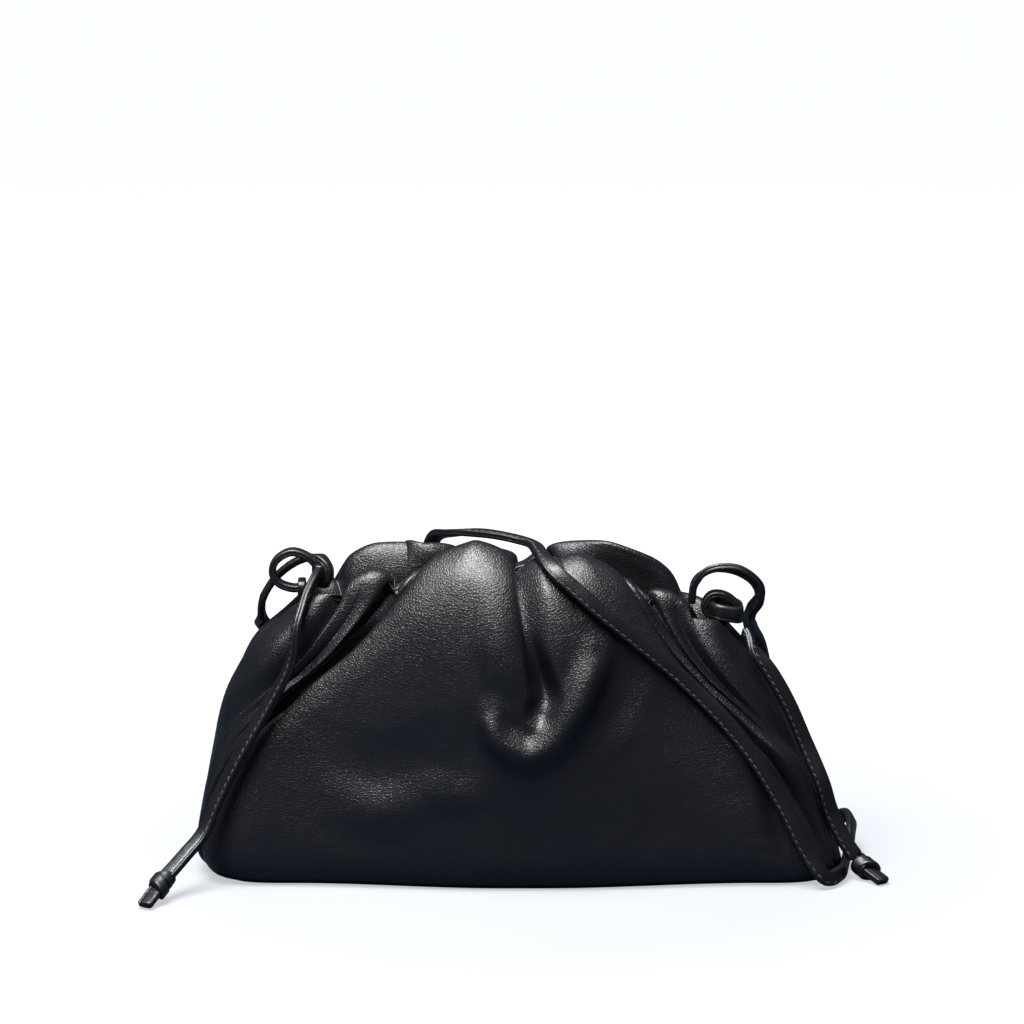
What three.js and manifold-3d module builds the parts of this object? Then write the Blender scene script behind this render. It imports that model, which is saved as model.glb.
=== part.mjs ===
// A small soft leather pouch bag, gathered into a slit mouth, with a knotted lace strap laid over it.
// Millimetres, +Z up. The origin is the middle of the flat base on the floor; the front faces -Y, and
// +X is to the right of someone who looks at the front.
import * as THREE from "three";
import { mergeVertices } from "three/addons/utils/BufferGeometryUtils.js";
import Module from "manifold-3d";

const wasm = await Module();
wasm.setup();

// Driving sizes of the leather body
const bagWidth = 220;
const bagHeight = 117;
const bagDepth = 72;
const leatherWall = 2.2;
const mouthLength = 128;
const mouthGap = 8;

// Driving sizes of the strap, a leather lace folded and stitched flat
const strapWidth = 5.4;
const strapThickness = 2.6;

// Driving sizes of the hidden bar round the mouth, and of the two belt loops that the strap is tied to
const frameBar = 2.4;
const frameTall = 6;
const tabWidth = 2.6;
const tabLeather = 1.3;

// The clearance that neighbouring pieces keep
const seatGap = 0.35;

const halfWidth = bagWidth / 2;
const halfDepth = bagDepth / 2;
const halfMouth = mouthLength / 2;
const halfGap = mouthGap / 2;

// One row for each level of the leather, from the lip inside the mouth over the crest and down to the base.
// rise, riseLeft and riseRight are the heights at mid-length and at the two ends, as shares of bagHeight.
// deep and end are depths at mid-length and of the rounded ends, as shares of the way from the mouth's
// edge to the deepest line. left and right are reaches, as shares of the way from the mouth's end to
// the widest point. round is 1 for a round end, and less for one with squarer corners. rings is how many
// rings of mesh there are from this level to the next.
const levels = [
  { name: "lip", rise: 0.86, riseLeft: 0.735, riseRight: 0.65, deep: 0,
    end: 0, left: 0, right: 0, round: 1, rings: 2 },
  { name: "throat", rise: 0.915, riseLeft: 0.77, riseRight: 0.685, deep: 0.03,
    end: 0.02, left: 0.03, right: 0.02, round: 1, rings: 2 },
  { name: "brow", rise: 0.975, riseLeft: 0.792, riseRight: 0.708, deep: 0.15,
    end: 0.08, left: 0.09, right: 0.05, round: 1, rings: 2 },
  { name: "crest", rise: 1, riseLeft: 0.8, riseRight: 0.715, deep: 0.31,
    end: 0.16, left: 0.17, right: 0.09, round: 1, rings: 2 },
  { name: "roll", rise: 0.972, riseLeft: 0.788, riseRight: 0.703, deep: 0.52,
    end: 0.3, left: 0.29, right: 0.16, round: 1, rings: 2 },
  { name: "shoulder", rise: 0.885, riseLeft: 0.748, riseRight: 0.672, deep: 0.77,
    end: 0.42, left: 0.42, right: 0.25, round: 1, rings: 2 },
  { name: "chest", rise: 0.74, riseLeft: 0.672, riseRight: 0.61, deep: 0.93,
    end: 0.55, left: 0.63, right: 0.4, round: 0.95, rings: 3 },
  { name: "middle", rise: 0.56, riseLeft: 0.535, riseRight: 0.5, deep: 0.99,
    end: 0.64, left: 0.79, right: 0.56, round: 0.9, rings: 4 },
  { name: "waist", rise: 0.375, riseLeft: 0.36, riseRight: 0.345, deep: 1,
    end: 0.73, left: 0.9, right: 0.7, round: 0.74, rings: 2 },
  { name: "belly", rise: 0.2, riseLeft: 0.2, riseRight: 0.19, deep: 1,
    end: 0.8, left: 0.99, right: 0.85, round: 0.6, rings: 2 },
  { name: "foot", rise: 0.085, riseLeft: 0.085, riseRight: 0.075, deep: 1,
    end: 0.82, left: 1.02, right: 0.97, round: 0.5, rings: 1 },
  { name: "turn", rise: 0.022, riseLeft: 0.024, riseRight: 0.02, deep: 0.94,
    end: 0.77, left: 0.95, right: 0.98, round: 0.5, rings: 1 },
  { name: "base", rise: 0, riseLeft: 0, riseRight: 0, deep: 0.85,
    end: 0.66, left: 0.82, right: 0.88, round: 0.5, rings: 0 },
];
const crestLevel = 3;
const baseLevel = levels.length - 1;
const archLeft = 3.3; // how flat the top line stays before it falls away to each end
const archRight = 3;
const straightShare = 0.7; // of the way round from the middle to an end; the rest is the rounded end

// The levels at which each valley's course and depth are given. No valley is left at the base.
const courseLevels = [0, crestLevel, 6, 8, baseLevel];

// One row for each valley between two gathers, going round the bag from the left end: -1 is the left end,
// 0 the middle of the front, 1 the right end, 2 the middle of the back and 3 the left end again.
// course is the valley's place at the five course levels, and depth how far it cuts in, as shares of
// bagDepth. spread is how wide its sides are, as a share of bagWidth. lift raises the gather that
// follows it, as a share of bagHeight. sink is how far that gather slips in at the chest and lean how far
// it leans forward over the mouth, as shares of bagDepth, and strips is how many strips of mesh it has.
const folds = [
  {
    name: "left seam",
    course: [-1, -1, -1, -1.08, -1.04],
    depth: [0, 0.03, 0.03, 0.01, 0],
    spread: 0.03, lift: 0, sink: 0, lean: 0, strips: 4,
  },
  {
    name: "left side",
    course: [-0.72, -0.655, -0.68, -0.95, -1.02],
    depth: [0, 0.09, 0.085, 0.01, 0],
    spread: 0.03, lift: -0.03, sink: 0.06, lean: 0, strips: 4,
  },
  {
    name: "left pleat",
    course: [-0.56, -0.5, -0.61, -0.88, -1],
    depth: [0, 0.13, 0.08, 0, 0],
    spread: 0.035, lift: -0.075, sink: 0.12, lean: 0, strips: 4,
  },
  {
    name: "panel left edge",
    course: [-0.34, -0.3, -0.5, -0.84, -0.98],
    depth: [0, 0.14, 0.14, 0.06, 0],
    spread: 0.045, lift: 0, sink: 0, lean: 0, strips: 11,
  },
  {
    name: "panel split",
    course: [-0.08, -0.055, 0.01, 0.09, 0.1],
    depth: [0, 0.12, 0.055, -0.06, 0],
    spread: 0.04, lift: -0.055, sink: 0, lean: 0, strips: 5,
  },
  {
    name: "under strap",
    course: [0.14, 0.15, 0.24, 0.3, 0.3],
    depth: [0, 0.012, 0, 0, 0],
    spread: 0.04, lift: -0.035, sink: 0, lean: 0, strips: 8,
  },
  {
    name: "panel right edge",
    course: [0.38, 0.32, 0.545, 0.8, 0.95],
    depth: [0, 0.11, 0.1, 0.06, 0],
    spread: 0.045, lift: -0.075, sink: 0.04, lean: 0, strips: 4,
  },
  {
    name: "right pleat",
    course: [0.56, 0.53, 0.64, 0.86, 0.98],
    depth: [0, 0.095, 0.06, 0, 0],
    spread: 0.035, lift: -0.045, sink: 0.07, lean: 0, strips: 4,
  },
  {
    name: "right side",
    course: [0.78, 0.72, 0.73, 0.9, 1.01],
    depth: [0, 0.07, 0.04, 0.02, 0],
    spread: 0.035, lift: 0, sink: 0.04, lean: 0, strips: 4,
  },
  {
    name: "right seam",
    course: [1, 1, 1, 1.06, 1.04],
    depth: [0, 0.02, 0.03, 0.01, 0],
    spread: 0.03, lift: 0, sink: 0, lean: 0, strips: 4,
  },
  {
    name: "back right",
    course: [1.34, 1.36, 1.3, 1.25, 1.24],
    depth: [0, 0.08, 0.06, 0.02, 0],
    spread: 0.045, lift: -0.015, sink: 0, lean: 0.1, strips: 7,
  },
  {
    name: "back middle",
    course: [1.85, 1.87, 1.78, 1.7, 1.7],
    depth: [0, 0.12, 0.07, 0, 0],
    spread: 0.045, lift: -0.085, sink: 0, lean: 0, strips: 4,
  },
  {
    name: "back notch",
    course: [2.03, 2.02, 2, 1.96, 1.96],
    depth: [0, 0.08, 0.04, 0, 0],
    spread: 0.035, lift: -0.075, sink: 0, lean: 0, strips: 4,
  },
  {
    name: "back left",
    course: [2.27, 2.26, 2.3, 2.36, 2.34],
    depth: [0, 0.1, 0.08, 0.02, 0],
    spread: 0.045, lift: -0.035, sink: 0, lean: 0.06, strips: 4,
  },
  {
    name: "back crease",
    course: [2.46, 2.45, 2.5, 2.56, 2.54],
    depth: [0, 0.018, 0.05, 0.01, 0],
    spread: 0.06, lift: 0.01, sink: 0, lean: 0, strips: 4,
  },
  {
    name: "back end",
    course: [2.74, 2.76, 2.72, 2.72, 2.74],
    depth: [0, 0.06, 0.06, 0.02, 0],
    spread: 0.045, lift: 0, sink: 0, lean: 0, strips: 4,
  },
];
const roundTrip = 4; // the places run from -1 to 3, and then start over

// Dents and ridges pressed into the front panel: each runs along a bent line from `from` by way of `by`
// to `to`, with shares of halfWidth across and of bagHeight up. height is how far it stands out (or, if
// negative, goes in) and broad is half its width, both as shares of bagDepth.
const dents = [
  {
    name: "hook left",
    from: [-0.11, 0.54], by: [-0.08, 0.37], to: [0.05, 0.41],
    height: 0.05, broad: 0.1,
  },
  {
    name: "hook right",
    from: [0.05, 0.41], by: [0.17, 0.43], to: [0.26, 0.72],
    height: 0.055, broad: 0.1,
  },
  {
    name: "hollow",
    from: [0.035, 0.7], by: [0.055, 0.6], to: [0.08, 0.53],
    height: -0.085, broad: 0.1,
  },
  {
    name: "corner shelf",
    from: [0.72, 0.42], by: [0.85, 0.355], to: [0.9, 0.2],
    height: 0.03, broad: 0.09,
  },
];

// A cubic curve through values given at the places in knots.
function through(knots, values, place) {
  const last = knots.length - 1;
  let i = 0;
  while (i < last - 1 && place > knots[i + 1]) i += 1;
  const slope = (k) => {
    const low = Math.max(k - 1, 0);
    const high = Math.min(k + 1, last);
    return (values[high] - values[low]) / (knots[high] - knots[low]);
  };
  const span = knots[i + 1] - knots[i];
  const t = THREE.MathUtils.clamp((place - knots[i]) / span, 0, 1);
  const start = values[i] * (1 + 2 * t) * (1 - t) ** 2 + slope(i) * span * t * (1 - t) ** 2;
  const end = values[i + 1] * t * t * (3 - 2 * t) - slope(i + 1) * span * t * t * (1 - t);
  return start + end;
}

const levelNumbers = levels.map((row, i) => i);
const columns = ["rise", "riseLeft", "riseRight", "deep", "end", "left", "right", "round"];
const levelColumns = Object.fromEntries(columns.map((key) => [key, levels.map((row) => row[key])]));
const at = (column, level) => through(levelNumbers, levelColumns[column], level);
const depthOf = (column, level) => halfGap + at(column, level) * (halfDepth - halfGap);
const reachOf = (isLeft, level) => halfMouth + at(isLeft ? "left" : "right", level) * (halfWidth - halfMouth);

// The smooth skin without its gathers, at a place round the bag and a level.
function smoothSkin(place, level) {
  const turn = ((((place + 1) % roundTrip) + roundTrip) % roundTrip) - 1;
  const onFront = turn <= 1;
  const across = onFront ? turn : 2 - turn;
  const isLeft = across < 0;
  const reach = reachOf(isLeft, level);
  const endDepth = depthOf("end", level);
  const straight = reach - endDepth;
  let x = (across / straightShare) * straight;
  let y = endDepth;
  if (Math.abs(across) <= straightShare) {
    const fade = THREE.MathUtils.smoothstep(Math.abs(across / straightShare), 0.1, 1);
    y += (depthOf("deep", level) - endDepth) * (1 - fade);
  } else {
    const angle = (((Math.abs(across) - straightShare) / (1 - straightShare)) * Math.PI) / 2;
    const round = at("round", level);
    x = Math.sign(across) * (straight + endDepth * Math.sin(angle) ** round);
    y = endDepth * Math.max(Math.cos(angle), 0) ** round;
  }
  const arch = 1 - Math.min(Math.abs(x / reach), 1) ** (isLeft ? archLeft : archRight);
  const endRise = at(isLeft ? "riseLeft" : "riseRight", level);
  const rise = endRise + (at("rise", level) - endRise) * arch;
  return new THREE.Vector3(x, onFront ? -y : y, rise * bagHeight);
}

// The outward direction of the smooth skin.
function outward(place, level) {
  const step = 0.02;
  const low = Math.max(level - step, 0);
  const high = Math.min(level + step, baseLevel);
  const along = smoothSkin(place + step, level).sub(smoothSkin(place - step, level));
  const down = smoothSkin(place, high).sub(smoothSkin(place, low));
  return down.cross(along).normalize();
}

const foldAt = (i) => folds[(i + folds.length) % folds.length];
const lapOf = (i) => (i >= folds.length ? roundTrip : 0);
const courseOf = (i, level) => through(courseLevels, foldAt(i).course, level) + lapOf(i);
const depthAt = (i, level) => Math.max(0, through(courseLevels, foldAt(i).depth, level)) * bagDepth;

// How much of a valley's depth is left at a share of the way up its side: a gather is round on top.
const valley = (share) => 1 - Math.sqrt(1 - (1 - Math.min(share, 1)) ** 2);

// A lift is whole at the crest and gone at the lip and at the chest.
function crestShare(level) {
  const share = through([0, 1, crestLevel, 5, 7, baseLevel], [0, 0.5, 1, 0.6, 0, 0], level);
  return Math.max(0, share);
}

// The lift across a gather, which runs smoothly into its neighbours' lifts.
function liftAcross(i, share) {
  const own = foldAt(i).lift;
  const other = foldAt(share < 0.5 ? i - 1 : i + 1).lift;
  return own + ((other - own) / 2) * THREE.MathUtils.smoothstep(Math.abs(share - 0.5) * 2, 0, 1);
}

// How far a gather slips in under its neighbours at the chest.
function sinkAt(i, share, level) {
  const most = foldAt(i).sink * bagDepth;
  const part = through([0, 4, 6, 8, baseLevel], [0, 0, 1, 0, 0], level);
  return most * part * THREE.MathUtils.smoothstep(1 - Math.abs(share - 0.5) * 2, 0, 1);
}

// How far a gather of the back leans forward over the mouth.
const leanLevels = [0, 1, 2, 3, 4, 5, 6, baseLevel];
const leanShares = [0, 0.14, 0.62, 1, 0.7, 0.25, 0, 0];
function leanAt(i, share, level) {
  return foldAt(i).lean * bagDepth * through(leanLevels, leanShares, level) * Math.sin(Math.PI * share);
}

// How far the dents and ridges of the front move a point out.
function dentAt(point) {
  let moved = 0;
  for (const dent of dents) {
    let nearest = Infinity;
    let along = 0;
    for (let t = 0; t <= 1; t += 0.05) {
      const [a, b, c] = [(1 - t) ** 2, 2 * t * (1 - t), t * t];
      const x = (a * dent.from[0] + b * dent.by[0] + c * dent.to[0]) * halfWidth;
      const z = (a * dent.from[1] + b * dent.by[1] + c * dent.to[1]) * bagHeight;
      const distance = Math.hypot(point.x - x, point.z - z);
      if (distance < nearest) [nearest, along] = [distance, t];
    }
    const share = Math.min(nearest / (dent.broad * bagDepth), 1);
    moved += dent.height * bagDepth * (1 - share * share) ** 2 * (0.45 + 0.55 * Math.sin(Math.PI * along));
  }
  return moved;
}

// A point of the gathered skin: share runs from 0 to 1 across the gather that follows fold i.
function gatheredSkin(i, share, level) {
  const from = courseOf(i, level);
  const to = courseOf(i + 1, level);
  const place = from + (to - from) * share;
  const across = smoothSkin(from, level).distanceTo(smoothSkin(to, level));
  const sideOf = (k) => Math.min((foldAt(k).spread * bagWidth) / Math.max(across, 0.1), 0.5);
  const before = depthAt(i, level) * valley(share / sideOf(i));
  const after = depthAt(i + 1, level) * valley((1 - share) / sideOf(i + 1));
  const lift = liftAcross(i, share) * bagHeight * crestShare(level);
  const point = smoothSkin(place, level);
  const dent = point.y < 0 && Math.abs(place) < 1 ? dentAt(point) : 0;
  const moved = dent - before - after - sinkAt(i, share, level);
  point.addScaledVector(outward(place, level), moved);
  point.y -= leanAt(i, share, level);
  point.z += lift;
  return point;
}

// The valleys and crests of the gathers are meshed more finely than their sides.
const shareOfStrip = (strip, strips) => {
  const even = strip / strips;
  return 0.6 * even + 0.4 * (0.5 - 0.5 * Math.cos(Math.PI * even));
};

// One ring of points round the gathered skin.
function skinRing(level) {
  const ring = [];
  folds.forEach((fold, i) => {
    for (let s = 0; s < fold.strips; s += 1) ring.push(gatheredSkin(i, shareOfStrip(s, fold.strips), level));
  });
  return ring;
}

// The same ring moved in by the wall, from the slopes of the gathered skin round each point.
function innerRing(level) {
  const step = 0.06;
  const ring = skinRing(level);
  const above = skinRing(Math.max(level - step, 0));
  const below = skinRing(Math.min(level + step, baseLevel));
  return ring.map((point, i) => {
    const along = ring[(i + 1) % ring.length].clone().sub(ring[(i + ring.length - 1) % ring.length]);
    const down = below[i].clone().sub(above[i]);
    const out = down.cross(along).normalize();
    const moved = point.clone().addScaledVector(out, -leatherWall);
    if (level === baseLevel) moved.z = leatherWall;
    return moved;
  });
}

// Triangles between two closed rings of points with the same count, split along the shorter diagonal.
function ringStrip(triangles, points, first, second, count) {
  for (let i = 0; i < count; i += 1) {
    const j = (i + 1) % count;
    const [a, b, c, d] = [first + i, second + i, second + j, first + j];
    if (points[a].distanceTo(points[c]) <= points[b].distanceTo(points[d])) triangles.push(a, b, c, a, c, d);
    else triangles.push(a, b, d, b, c, d);
  }
}

// Triangles that fill a flat ring, facing down or up.
function flatCap(triangles, ring, first, facesDown) {
  const outline = ring.map((point) => new THREE.Vector2(point.x, point.y));
  for (const [a, b, c] of THREE.ShapeUtils.triangulateShape(outline, [])) {
    if (facesDown) triangles.push(first + a, first + c, first + b);
    else triangles.push(first + a, first + b, first + c);
  }
}

function geometryOf(points, triangles) {
  const geometry = new THREE.BufferGeometry().setFromPoints(points);
  geometry.setIndex(triangles);
  return geometry;
}

// The gathered leather body: an outer skin, a coarser inner skin one wall in, and the lip that joins them.
function pouchBody() {
  const outer = [];
  const inner = [];
  levels.forEach((row, i) => {
    for (let r = 0; r < Math.max(row.rings, 1); r += 1) outer.push(skinRing(i + r / Math.max(row.rings, 1)));
    inner.push(innerRing(i));
    if (i >= crestLevel - 1 && i <= crestLevel + 1) inner.push(innerRing(i + 0.5));
  });
  const count = outer[0].length;
  const points = [...outer.flat(), ...inner.flat()];
  const triangles = [];
  for (let r = 0; r < outer.length - 1; r += 1) {
    ringStrip(triangles, points, r * count, (r + 1) * count, count);
  }
  flatCap(triangles, outer[outer.length - 1], (outer.length - 1) * count, true);
  const start = outer.length * count;
  for (let r = 0; r < inner.length - 1; r += 1) {
    ringStrip(triangles, points, start + (r + 1) * count, start + r * count, count);
  }
  flatCap(triangles, inner[inner.length - 1], start + (inner.length - 1) * count, false);
  ringStrip(triangles, points, start, 0, count);
  return geometryOf(points, triangles);
}

// The stiff bar that closes the mouth: it follows the lip all round, just under the leather's edge.
function mouthFrame() {
  const steps = 40;
  const below = seatGap + 0.9 * leatherWall;
  const top = [];
  for (let i = 0; i < steps; i += 1) top.push(smoothSkin(-1 + (roundTrip * i) / steps, 0));
  const centre = (i) => top[(i + steps) % steps];
  const ringAt = (side, drop) =>
    top.map((point, i) => {
      const along = centre(i + 1).clone().sub(centre(i - 1)).setZ(0).normalize();
      const out = new THREE.Vector3(along.y, -along.x, -below - drop);
      return point.clone().add(new THREE.Vector3(out.x * side, out.y * side, out.z));
    });
  const rings = [ringAt(0, 0), ringAt(frameBar, 0), ringAt(frameBar, frameTall), ringAt(0, frameTall)];
  const points = rings.flat();
  const triangles = [];
  for (let r = 0; r < 4; r += 1) ringStrip(triangles, points, r * steps, ((r + 1) % 4) * steps, steps);
  return geometryOf(points, triangles);
}

// The place round the bag where a level's skin has this x, on the front or the back.
function placeAt(x, level, isBack) {
  const endDepth = depthOf("end", level);
  const straight = reachOf(x < 0, level) - endDepth;
  let across = (straightShare * x) / straight;
  if (Math.abs(x) > straight) {
    const angle = Math.asin(Math.min((Math.abs(x) - straight) / endDepth, 1) ** (1 / at("round", level)));
    across = Math.sign(x) * (straightShare + ((1 - straightShare) * angle * 2) / Math.PI);
  }
  return isBack ? 2 - across : across;
}

// A spot on the outside of the skin, and the way that the skin faces there. along is a share of
// halfWidth, up a share of bagHeight, and level, if it is given, stands in for up.
function spotOnSkin({ along, up, level, side }) {
  const x = along * halfWidth;
  let found = level;
  if (found === undefined) {
    let [low, high] = [crestLevel, baseLevel];
    for (let i = 0; i < 30; i += 1) {
      found = (low + high) / 2;
      const point = smoothSkin(placeAt(x, found, side === "back"), found);
      if (point.z > up * bagHeight) low = found;
      else high = found;
    }
  }
  const place = placeAt(x, found, side === "back");
  return { point: smoothSkin(place, found), face: outward(place, found) };
}

// A row of a lace's course becomes a point, the way its flat side faces, and how far it is turned about
// its own length. A row with a side lies on the skin there; any other row is a spot in the open, with
// along, out and up as shares of halfWidth, halfDepth and bagHeight. A row with onFloor lies on the floor.
function lacePoint(row) {
  const turn = ((row.turn ?? 0) * Math.PI) / 180;
  const half = (strapThickness * Math.abs(Math.cos(turn)) + strapWidth * Math.abs(Math.sin(turn))) / 2;
  if (row.side) {
    const { point, face } = spotOnSkin(row);
    const off = (row.off ?? 0) * strapThickness + half + seatGap;
    return { point: point.addScaledVector(face, off), face, turn };
  }
  const point = new THREE.Vector3(row.along * halfWidth, row.out * halfDepth, (row.up ?? 0) * bagHeight);
  const face = new THREE.Vector3(...(row.face ?? [0, 0, 1])).normalize();
  if (row.onFloor) point.z = half;
  return { point, face, turn };
}

// The eight corners of the lace's section, as shares of half its width and half its thickness.
const section = [
  [1, 0.4],
  [0.75, 1],
  [-0.75, 1],
  [-1, 0.4],
  [-1, -0.4],
  [-0.75, -1],
  [0.75, -1],
  [1, -0.4],
];

// The longest stretch of lace without a ring of points, in lace widths.
const longestStep = 4.4;

// A lace swept along its rows. bend is the most that it turns between two rings, in degrees, and a
// closed lace joins its own start.
function laceGeometry(rows, options = {}) {
  const { bend = 30, closed = false, width = strapWidth, thickness = strapThickness } = options;
  const spots = rows.map((row) => (row.point ? row : lacePoint(row)));
  const curve = new THREE.CatmullRomCurve3(spots.map((spot) => spot.point), closed, "centripetal");
  const spans = closed ? spots.length : spots.length - 1;
  const fine = 16;
  const frames = [];
  for (let i = 0; i <= spans * fine - (closed ? 1 : 0); i += 1) {
    const low = Math.min(Math.floor(i / fine), spans - 1);
    const blend = THREE.MathUtils.smoothstep(i / fine - low, 0, 1);
    const [a, b] = [spots[low], spots[(low + 1) % spots.length]];
    const along = curve.getTangent(i / (spans * fine));
    const face = a.face.clone().lerp(b.face, blend);
    face.addScaledVector(along, -face.dot(along)).normalize();
    face.applyAxisAngle(along, (a.turn ?? 0) + ((b.turn ?? 0) - (a.turn ?? 0)) * blend);
    frames.push({ point: curve.getPoint(i / (spans * fine)), along, face });
  }
  const kept = [frames[0]];
  let turned = 0;
  for (let i = 1; i < frames.length; i += 1) {
    turned += frames[i].along.angleTo(frames[i - 1].along) + 0.6 * frames[i].face.angleTo(frames[i - 1].face);
    const far = frames[i].point.distanceTo(kept[kept.length - 1].point) > longestStep * width;
    if (turned > (bend * Math.PI) / 180 || far || (!closed && i === frames.length - 1)) {
      kept.push(frames[i]);
      turned = 0;
    }
  }
  const points = [];
  for (const { point, along, face } of kept) {
    const wide = face.clone().cross(along).normalize();
    for (const [w, f] of section) {
      const corner = point.clone().addScaledVector(wide, (w * width) / 2);
      points.push(corner.addScaledVector(face, (f * thickness) / 2));
    }
  }
  const count = section.length;
  const triangles = [];
  const rings = kept.length;
  for (let r = 0; r < (closed ? rings : rings - 1); r += 1) {
    ringStrip(triangles, points, ((r + 1) % rings) * count, r * count, count);
  }
  if (!closed) {
    const last = (rings - 1) * count;
    for (let i = 1; i < count - 1; i += 1) {
      triangles.push(0, i + 1, i);
      triangles.push(last, last + i, last + i + 1);
    }
  }
  return geometryOf(points, triangles);
}

// A mesh's geometry as a solid that can be joined and cut, and back.
function solidOf(geometry) {
  const bare = new THREE.BufferGeometry();
  bare.setAttribute("position", geometry.getAttribute("position").clone());
  if (geometry.index) bare.setIndex(geometry.index.clone());
  const merged = mergeVertices(bare, 1e-4);
  return new wasm.Manifold(
    new wasm.Mesh({
      numProp: 3,
      vertProperties: new Float32Array(merged.getAttribute("position").array),
      triVerts: new Uint32Array(merged.index.array),
    }),
  );
}

function geometryOfSolid(solid) {
  const mesh = solid.getMesh();
  const geometry = new THREE.BufferGeometry();
  geometry.setAttribute("position", new THREE.BufferAttribute(new Float32Array(mesh.vertProperties), 3));
  geometry.setIndex(new THREE.BufferAttribute(new Uint32Array(mesh.triVerts), 1));
  return geometry;
}

// The largest piece of a solid, without any hollow that is closed in.
const largest = (solid) => solid.decompose().sort((a, b) => b.volume() - a.volume())[0];
const joined = (geometries) => geometryOfSolid(largest(wasm.Manifold.union(geometries.map(solidOf))));
const cut = (geometry, tools) =>
  geometryOfSolid(largest(tools.reduce((solid, tool) => solid.subtract(solidOf(tool)), solidOf(geometry))));

// A round lump: the heart of a knot, or the room that a lace's end leaves for it.
function lump(centre, radii) {
  const geometry = new THREE.SphereGeometry(1, 12, 7);
  geometry.scale(radii.x, radii.y, radii.z);
  geometry.translate(centre.x, centre.y, centre.z);
  return geometry;
}

// A leather belt loop at an end of the mouth: a flat closed ring, seen along the bag's length.
function beltLoop(centre) {
  const rows = [];
  const halfHole = new THREE.Vector2(strapWidth, strapThickness).addScalar(3 * seatGap).divideScalar(2);
  const square = (value) => Math.sign(value) * Math.abs(value) ** 0.6;
  for (let i = 0; i < 12; i += 1) {
    const angle = (i * Math.PI) / 6;
    const y = square(Math.cos(angle)) * (halfHole.x + tabLeather / 2);
    const z = square(Math.sin(angle)) * (halfHole.y + tabLeather / 2);
    const face = new THREE.Vector3(0, Math.cos(angle), Math.sin(angle));
    rows.push({ point: new THREE.Vector3(0, y, z).add(centre), face });
  }
  return laceGeometry(rows, { closed: true, bend: 44, width: tabWidth, thickness: tabLeather });
}

// The spots of a knot's rows are in strap widths from its heart.
function knotRows(heart, rows) {
  return rows.map((row) => ({
    point: new THREE.Vector3(...row.spot).multiplyScalar(strapWidth).add(heart),
    face: new THREE.Vector3(...row.face).normalize(),
    turn: ((row.turn ?? 0) * Math.PI) / 180,
  }));
}

const bag = new THREE.Group();

function addPiece(name, geometry, material) {
  const mesh = new THREE.Mesh(geometry, material);
  mesh.name = name;
  bag.add(mesh);
}

const leather = (color, roughness) => new THREE.MeshStandardMaterial({ color, roughness, metalness: 0 });
const bodyLeather = leather(0x14161a, 0.45);
const strapLeather = leather(0x15161b, 0.4);
const frameMetal = new THREE.MeshStandardMaterial({ color: 0x55565a, roughness: 0.4, metalness: 1 });

addPiece("pouch_body", pouchBody(), bodyLeather);
addPiece("mouth_frame", mouthFrame(), frameMetal);

// The belt loops stand on the crest at the two ends of the mouth.
const leftEnd = smoothSkin(-1, crestLevel);
const rightEnd = smoothSkin(1, crestLevel);
const tabRise = strapThickness / 2 + tabLeather + 3.6 * seatGap;
const leftHole = new THREE.Vector3(leftEnd.x - 1.25 * tabWidth, 0, leftEnd.z + tabRise);
const rightHole = new THREE.Vector3(rightEnd.x + 0.3 * tabWidth, 0, rightEnd.z + tabRise);
addPiece("left_strap_tab", beltLoop(leftHole), strapLeather);
addPiece("right_strap_tab", beltLoop(rightHole), strapLeather);

// The left knot: a bow loop that passes through the belt loop, and a turn of lace over the heart.
const leftHeart = leftHole.clone().add(new THREE.Vector3(1.15, 0, 0.95).multiplyScalar(strapWidth));
const leftLoopRows = [
  { spot: [-0.1, 0, 0.4], face: [0.2, 0, 1] },
  { spot: [-0.8, 0, 1.05], face: [0.1, 0, 1] },
  { spot: [-1.8, 0, 1.35], face: [-0.2, 0, 1] },
  { spot: [-2.75, 0, 0.8], face: [-0.9, 0, 0.6] },
  { spot: [-3, 0, 0.05], face: [-1, 0, 0] },
  { spot: [-2.6, 0, -0.65], face: [-0.8, 0, -0.6] },
  { spot: [-1.75, 0, -0.97], face: [0, 0, -1] },
  { spot: [-1.15, 0, -0.95], face: [0, 0, -1] },
  { spot: [-0.6, 0, -0.9], face: [0, 0, -1] },
  { spot: [-0.1, 0, -0.35], face: [0.5, 0, -0.8] },
];
const leftWrapRows = [
  { spot: [-0.5, 0.75, 0.75], face: [0, 0.2, 1] },
  { spot: [0, 0.1, 0.95], face: [0.2, 0, 1] },
  { spot: [0.55, -0.35, 0.4], face: [1, -0.2, 0.5] },
  { spot: [0.55, -0.35, -0.4], face: [1, -0.2, -0.2] },
  { spot: [0.2, 0.1, -0.6], face: [0.3, 0, -1] },
];
const leftRadii = new THREE.Vector3(0.55, 0.8, 0.75).multiplyScalar(strapWidth);
const leftKnot = [
  lump(leftHeart, leftRadii),
  laceGeometry(knotRows(leftHeart, leftLoopRows)),
  laceGeometry(knotRows(leftHeart, leftWrapRows)),
];
addPiece("left_strap_knot", joined(leftKnot), strapLeather);

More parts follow.
